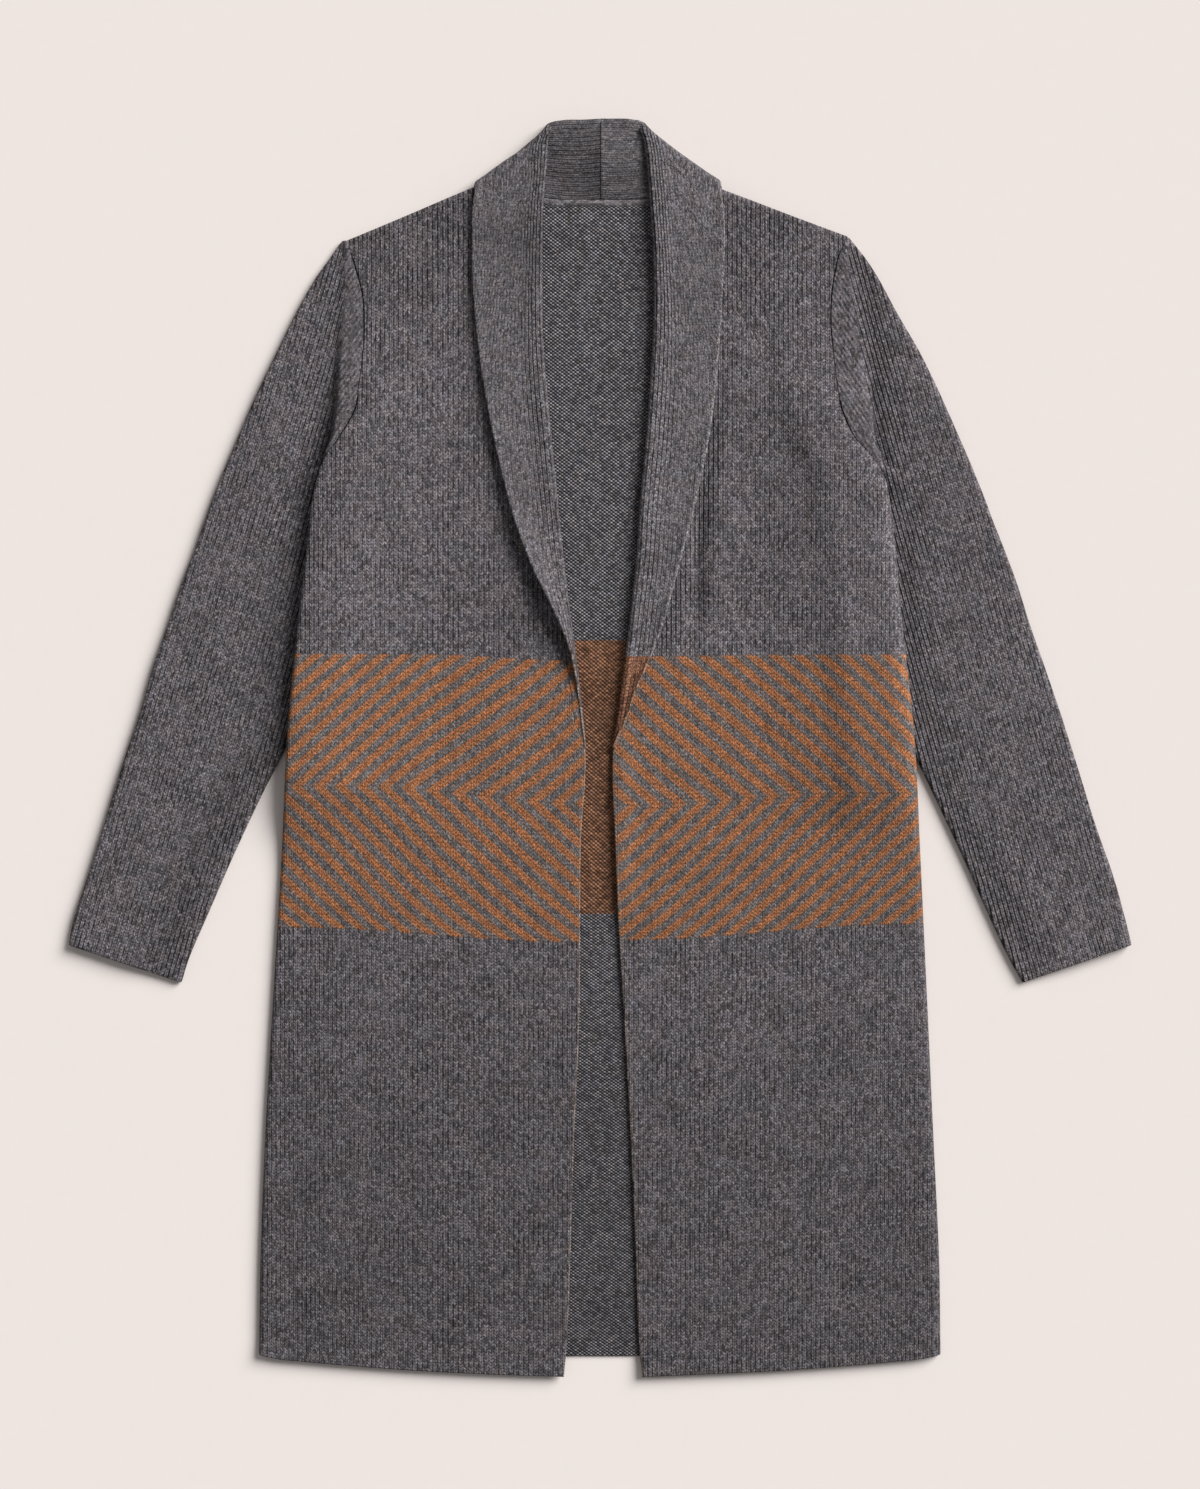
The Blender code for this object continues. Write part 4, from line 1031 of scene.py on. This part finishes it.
for side in SIGN:
    points, stitches, measures = front_points(side)
    if side == "left":
        points, stitches, measures = turned(points, stitches, measures)
    front_knit = knit_side("front_" + side + "_knit", 21.0 + SIGN[side], FRONT_GREY_LIT_AND_SHADED[side],
                           turn=-SIGN[side])
    front = knitted_shell("front_" + side + "_knit", points, stitches, front_knit, purl, measures)
    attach(front, "root")
    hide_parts("front_" + side)


# ---------------------------------------------------------------------------------------------
# The shawl collar.
# Two strips of the same knit, joined at the centre of the back neck, whose wales run along the
# strip. Each is sewn to the neck and the front edge, stands up from that seam and folds over
# along the roll line. Behind the neck the fall lies hidden under the back.

FRONT_FOLD_RADIUS = {"left": 0.0027, "right": 0.0030}
FALL_LOFT = 0.0009
FALL_RIM = 0.0008
STAND_LEAN = 0.0045
END_LAYER = 0.0012
END_WALL = 0.0011
EDGE_INSET = 0.0020
EDGE_DIP = {"left": 0.0016, "right": 0.0}
CORNER_LENGTH = 0.006
CORNER_ROUNDING = 0.0040
CORNER_TOP = {"left": 0.0012, "right": 0.0022}
CORNER_CUT = 0.0024
# The height of the fold behind the neck at places from the centre to the corner.
TOP_SHARES = (0.0, 0.35, 0.65, 0.84)
TOP_FOLD = {"left": (0.4911, 0.4903, 0.4901, 0.4893), "right": (0.4912, 0.4911, 0.4909, 0.4899)}
UPRIGHT_TURN = 0.9
# One grey for both collar halves, painted lighter on the right, towards the lamp, and darker on the left:
# painted light and shade.
COLLAR_GREY_LIT_AND_SHADED = {"left": (0.1105, 0.1000, 0.1067), "right": (0.1228, 0.1115, 0.1190)}
COLLAR_VARIETY = 0.92
# The pale line along the free edge of each lapel's lower end, partly painted highlight on the fold that faces
# the lamp, and painted highlight along the right lapel's free edge.
COLLAR_PALE_EDGE_AND_HIGHLIGHT = {"left": 0.6, "right": 0.35}
RIM_HIGHLIGHT = {"left": 0.0, "right": 0.48}
CENTRE_GAP = 0.0001
# Painted shade along the centre seam behind the neck.
CENTRE_SHADE = 0.48
# The turn of the fold from behind the neck, round the corner, to the front.
CORNER_TURNS = (-90.0, -60.0, -30.0, 0.0, 30.0, 60.0, 90.0)
# The grid: sections behind the neck, round the corner and along the front, more of them at both
# ends, and columns of the stand, the fold and the fall.
SECTIONS = (36, 30, 180)
END_SECTIONS = np.array((0.003, 0.01, 0.03))
COLLAR_WIDTH, COLLAR_GRID = 0.06, 0.003
FOLD_COLUMNS = 11
SLIM_REACH = 0.0085
THIN_END_Y = (0.040, 0.085)
RISE_ROUNDS = 30
FALL_SETTLED = 0.35
RIM_FROM = (0.86, 0.96)
# The stand rises between its ends: most by the centre, and in a small ridge at the centre seam.
STAND_RIDGE = 0.0075
STAND_RIDGE_LENGTH = 0.040
STAND_SEAM_RIDGE = 0.0008
STAND_SEAM_WIDTH = 0.004
LEDGE_FROM = 0.70
INSET_FROM, DIP_PLACE, DIP_WIDTH = 0.14, 0.34, 0.18
STAND_OPENNESS = {"left": 0.45, "right": 0.10}
STAND_PRESSED = {"left": 1.0, "right": 0.75}
# Painted shade on the stand behind the neck.
STAND_SHADE = {"left": 0.22, "right": 0.245}
STAND_END = (4.0, 8.0)
# The wale at which the fall is most open, and over how many wales. It is more so by the neck,
# less so on the lower part, and closed past it.
OPEN_COLLAR = {"left": (3.0, 2.2), "right": (3.5, 3.6)}
FALL_OPENNESS, NECK_OPENNESS, NECK_OPEN_Y = 0.8, 0.6, (0.30, 0.42)
OPEN_SHADE = 0.09
LOW_FELT, LOW_FELT_Y = {"left": 0.7, "right": 0.3}, (0.12, 0.34)
END_OPENNESS, END_OPEN_Y = 0.3, (0.060, 0.090)
FALL_FELT, FELT_WALES, STAND_FELT = 0.8, 3.5, 0.5
AT_RIM, NEAR_RIM = (0.0014, 0.0004), (0.0028, 0.0008)
RIM_TO_Y = (0.100, 0.065)
AT_CENTRE = (0.0003, 0.0012)
TURNED_OVER_Y = {"left": None, "right": 0.0715}


def collar_frames(side):
    """The sections of the collar from the centre of the back neck to its lower end: the fold, the
    free edge and the seam in plan, the turn of the fold, and how far the free edge stands up."""
    corner = np.array(COLLAR_CORNER[side])
    fall_corner = np.array(FALL_CORNER[side])
    neck = np.array(NECK[side])
    neck = neck + (corner - neck) / np.hypot(*(corner - neck)) * NECK_GAP * 2
    outwards = np.array((corner[1] - fall_corner[1], fall_corner[0] - corner[0]))
    outwards /= np.hypot(*outwards)
    silhouette = outwards * (FRONT_RISE / 2 + FALL_FOLD + LOWEST)
    corner, fall_corner = corner - silhouette, fall_corner - silhouette
    first_roll = np.array((COLLAR_ACROSS[side][0, 0], COLLAR_Y[0, 0]))
    to_first = (first_roll - corner) / np.hypot(*(first_roll - corner))
    along_fall = (corner - fall_corner) / np.hypot(*(corner - fall_corner))
    frames = []
    for share, top in zip(TOP_SHARES, TOP_FOLD[side]):
        roll = (max(share * corner[0], CENTRE_GAP), top)
        free_x = max(share * fall_corner[0], CENTRE_GAP)
        free = (free_x, FALL_CENTRE_Y + (fall_corner[1] - FALL_CENTRE_Y) * share**2)
        seam_x = max(share * neck[0], CENTRE_GAP)
        seam = (seam_x, float(top_edge(side, seam_x)) + NECK_GAP / 2)
        frames.append((*roll, *free, *seam, CORNER_TURNS[0], 0.0))
    for angle in CORNER_TURNS:
        roll = corner + to_first * CORNER_LENGTH * angle / 180.0
        roll = roll + np.array((0.0, CORNER_TOP[side] * (1.0 - soft_step(-90.0, 10.0, angle))))
        bulge = math.cos(math.radians(angle)) ** 2
        roll = roll - CORNER_CUT * bulge * outwards
        frames.append((*roll, *(fall_corner + CORNER_ROUNDING * along_fall * bulge), *neck, angle, 0.0))
    for (roll_y, free_y, seam_y), (roll_x, free_x, seam_x, rise) in zip(COLLAR_Y, COLLAR_ACROSS[side]):
        seam_x = seam_x - NECK_GAP / 2
        frames.append((roll_x, roll_y, free_x, free_y, seam_x, seam_y, CORNER_TURNS[-1], rise))
    return np.array(frames), outwards, corner, fall_corner


def collar_points(side):
    """Sections from the neck seam up the stand, round the fold and out along the fall."""
    frames, outwards, corner, fall_corner = collar_frames(side)
    numbers = np.arange(len(frames), dtype=float)
    last = len(frames) - 1
    parts = (0, len(TOP_SHARES), len(TOP_SHARES) + len(CORNER_TURNS) - 1, last)
    steps = [np.linspace(*ends, count)[1:] for *ends, count in zip(parts, parts[1:], SECTIONS)]
    steps = np.sort(np.concatenate(([0.0], *steps, END_SECTIONS, last - END_SECTIONS)))
    read = np.stack([through(numbers, frames[:, c], steps) for c in range(frames.shape[1])], axis=-1)
    read[:, 6] = np.interp(steps, numbers, frames[:, 6])
    roll, free, seam = read[:, 0:2], read[:, 2:4], read[:, 4:6]
    turn, rise = np.radians(read[:, 6]), read[:, 7]
    facing = np.stack((outwards[0] * np.cos(turn), outwards[1] * np.cos(turn), np.sin(turn)), axis=-1)
    on_front = np.clip(read[:, 6] / 180.0 + 0.5, 0.0, 1.0)
    to_free, to_seam = free - roll, seam - roll
    to_free /= np.linalg.norm(to_free, axis=1, keepdims=True)
    to_seam /= np.linalg.norm(to_seam, axis=1, keepdims=True)
    slim = np.minimum(1.0, np.linalg.norm(seam - roll, axis=1) / SLIM_REACH)
    near_end = (1.0 - soft_step(*THIN_END_Y, roll[:, 1])) * (side == "left")
    wall = WALL + (END_WALL - WALL) * near_end
    front_radius = FRONT_FOLD_RADIUS[side] * (1.0 - near_end) + END_LAYER / 2 * near_end
    radius = (FALL_FOLD / 2 * (1.0 - on_front) + front_radius * on_front) * slim
    stand_out = FRONT_RISE / 2 + (WALL - wall) / 2
    front_layer = (LAYER + FALL_LOFT) * (1.0 - near_end) + END_LAYER * near_end
    fall_out = stand_out + FALL_FOLD * (1.0 - on_front) + front_layer * on_front
    middle_out = stand_out + radius
    axis = roll + to_free * (radius + LOWEST * slim)[:, None]
    stand_length = ((seam - axis) * to_seam).sum(axis=1)
    reach = ((free - axis) * to_free).sum(axis=1)
    lifted = np.zeros(len(steps))
    for _ in range(RISE_ROUNDS):
        rise_left = fall_out + rise - middle_out - radius * np.cos(lifted)
        lifted = np.arctan2(rise_left, reach + radius * np.sin(lifted))
    lifted = np.maximum(lifted, 0.0)
    upright = np.minimum(lifted / UPRIGHT_TURN, 1.0)[:, None]

    outs = []

    def place(flat, out):
        """Points over places in plan, so far out from the middle of the stand's own line."""
        outs.append(out)
        height = back_height(side, flat[..., 0], flat[..., 1]) + FRONT_RISE / 2
        return np.concatenate((flat, height[..., None]), axis=-1) + facing[:, None] * out[..., None]

    stand = shares(COLLAR_WIDTH, COLLAR_GRID, start=False)[::-1]
    flat = axis[:, None] + to_seam[:, None] * (stand * stand_length[:, None])[..., None]
    parts = [place(flat, stand_out[:, None] * np.ones(len(stand)))]
    fold = np.linspace(0.0, 1.0, FOLD_COLUMNS)[1:]
    angle = fold * (math.pi - lifted[:, None])
    flat = axis[:, None] - to_free[:, None] * (radius[:, None] * np.sin(angle))[..., None]
    parts.append(place(flat, middle_out[:, None] - radius[:, None] * np.cos(angle)))
    start_out = (middle_out + radius * np.cos(lifted))[:, None]
    start = -(radius * np.sin(lifted))[:, None]
    share = shares(COLLAR_WIDTH, COLLAR_GRID, start=False)[1:]
    straight = start_out + (fall_out[:, None] + rise[:, None] - start_out) * share
    settled = soft_step(0.0, FALL_SETTLED, share)
    rim = FALL_RIM * soft_step(*RIM_FROM, share) * (on_front * (1.0 - near_end))[:, None]
    lying = start_out + (fall_out[:, None] - start_out) * settled + rise[:, None] * share * share + rim
    out = upright * straight + (1.0 - upright) * lying
    flat = axis[:, None] + to_free[:, None] * (start + (reach[:, None] - start) * share)[..., None]
    parts.append(place(flat, out))
    points = np.concatenate(parts, axis=1)
    up_stand = 4.0 * stand * (1.0 - stand)
    from_centre = points[:, : len(stand), 0]
    slope = np.clip(1.0 - from_centre / STAND_RIDGE_LENGTH, 0.0, 1.0) * STAND_RIDGE
    slope = slope + STAND_SEAM_RIDGE * np.exp(-((from_centre / STAND_SEAM_WIDTH) ** 2))
    behind_neck = (1.0 - on_front)[:, None]
    points[:, : len(stand), 2] += up_stand * slope * behind_neck
    points[:, : len(stand), 2] += LEDGE_RISE * soft_step(LEDGE_FROM, 1.0, stand) * behind_neck
    lean = np.concatenate((1.0 - stand, 0.5 + 0.5 * np.cos(fold * math.pi)))
    points[:, : len(lean), 2] += STAND_LEAN * lean * ((1.0 - on_front) ** 2)[:, None]
    line = fall_corner - corner
    along_edge = np.clip((points[..., :2] - corner) @ line / (line @ line), 0.0, 1.0)
    loose = np.concatenate((1.0 - stand**4, np.ones(points.shape[1] - len(stand))))
    dip = EDGE_INSET * soft_step(0.0, INSET_FROM, along_edge)
    dip = dip + EDGE_DIP[side] * np.exp(-(((along_edge - DIP_PLACE) / DIP_WIDTH) ** 2))
    dip = dip * np.cos(turn)[:, None] * loose
    points[..., :2] -= dip[..., None] * outwards
    points[..., 0] *= SIGN[side]
    lengths = np.linalg.norm(np.diff(points, axis=1), axis=2)
    across = np.concatenate((np.zeros((len(steps), 1)), np.cumsum(lengths, axis=1)), axis=1)
    fold_column = len(stand) + 4
    across = across - across[:, fold_column : fold_column + 1]
    along = np.linalg.norm(np.diff(points[:, fold_column], axis=0), axis=1)
    along = np.concatenate(([0.0], np.cumsum(along)))[:, None] * np.ones_like(across)
    aslant = outwards[0] / outwards[1] * np.cos(turn)[:, None] * np.concatenate(outs, axis=1)
    wales = (across + aslant) / WALE
    stitches = np.stack((wales, along / CHEST_COURSE), axis=-1)
    middle, spread = OPEN_COLLAR[side]
    up, front_share, on_stand = roll[:, 1:2], on_front[:, None], wales < 0
    openness = FALL_OPENNESS + NECK_OPENNESS * soft_step(*NECK_OPEN_Y, up)
    openness = openness * np.exp(-((wales - middle) / spread) ** 2)
    openness = openness * (1.0 - LOW_FELT[side] * (1.0 - soft_step(*LOW_FELT_Y, up)))
    openness = openness * (END_OPENNESS + (1.0 - END_OPENNESS) * soft_step(*END_OPEN_Y, up))
    behind = (1.0 - soft_step(*STAND_END, steps))[:, None] * on_stand * STAND_OPENNESS[side]
    openness = np.maximum(openness, behind)
    felt = FALL_FELT * soft_step(middle, middle + FELT_WALES, wales) + STAND_FELT * on_stand
    pressed = (1.0 - front_share) * on_stand * STAND_PRESSED[side]
    # Painted shade on the stand and along the centre seam; where the gutters open on the front the loops are
    # lighter.
    shade = STAND_SHADE[side] * (1.0 - front_share) * on_stand
    shade = np.maximum(shade, CENTRE_SHADE * (1.0 - soft_step(*AT_CENTRE, roll[:, 0:1])))
    shade = shade - OPEN_SHADE * openness * front_share
    edge = WALL / 2 * np.ones_like(across)
    edge[:4] = SEAM_EDGE / 2
    edge[:, : len(stand)] = SEAM_EDGE
    to_rim = across[:, -1:] - across
    low = soft_step(*RIM_TO_Y, up)
    # Pale line and painted highlight at the rim.
    selvedge_and_highlight = soft_step(*NEAR_RIM, to_rim) * RIM_HIGHLIGHT[side] * front_share * (1.0 - low)
    selvedge_and_highlight = selvedge_and_highlight + soft_step(*AT_RIM, to_rim) * COLLAR_PALE_EDGE_AND_HIGHLIGHT[side] * low
    courses = COURSES[side]
    course_heights = np.array([c.y - c.drop for c in courses])
    course_numbers = np.array([float(c.number) for c in courses])
    return points, stitches, {
        "openness": openness, "felt": felt, "pressed": pressed, "shade": shade,
        "selvedge_and_highlight": selvedge_and_highlight, "edge": edge * slim[:, None], "wall": wall[:, None],
        "front_wale": through(WALES[side][:, 0], WALES[side][:, 1], points[..., 0]),
        "front_course": through(course_heights, course_numbers, points[..., 1])}


for side in SIGN:
    points, stitches, measures = collar_points(side)
    if side == "right":
        points, stitches, measures = turned(points, stitches, measures)
    collar_knit = knit_side("collar_" + side + "_knit", 31.0 + SIGN[side], COLLAR_GREY_LIT_AND_SHADED[side],
                            turned_over_from=TURNED_OVER_Y[side], variety=COLLAR_VARIETY)
    collar_under = knit_side("collar_" + side + "_under", 41.0 + SIGN[side], turn=-SIGN[side],
                             as_front=True)
    collar = knitted_shell("collar_" + side + "_knit", points, stitches, collar_knit, collar_under,
                           measures)
    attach(collar, "root")
    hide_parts("collar_" + side)


bpy.context.view_layer.update()
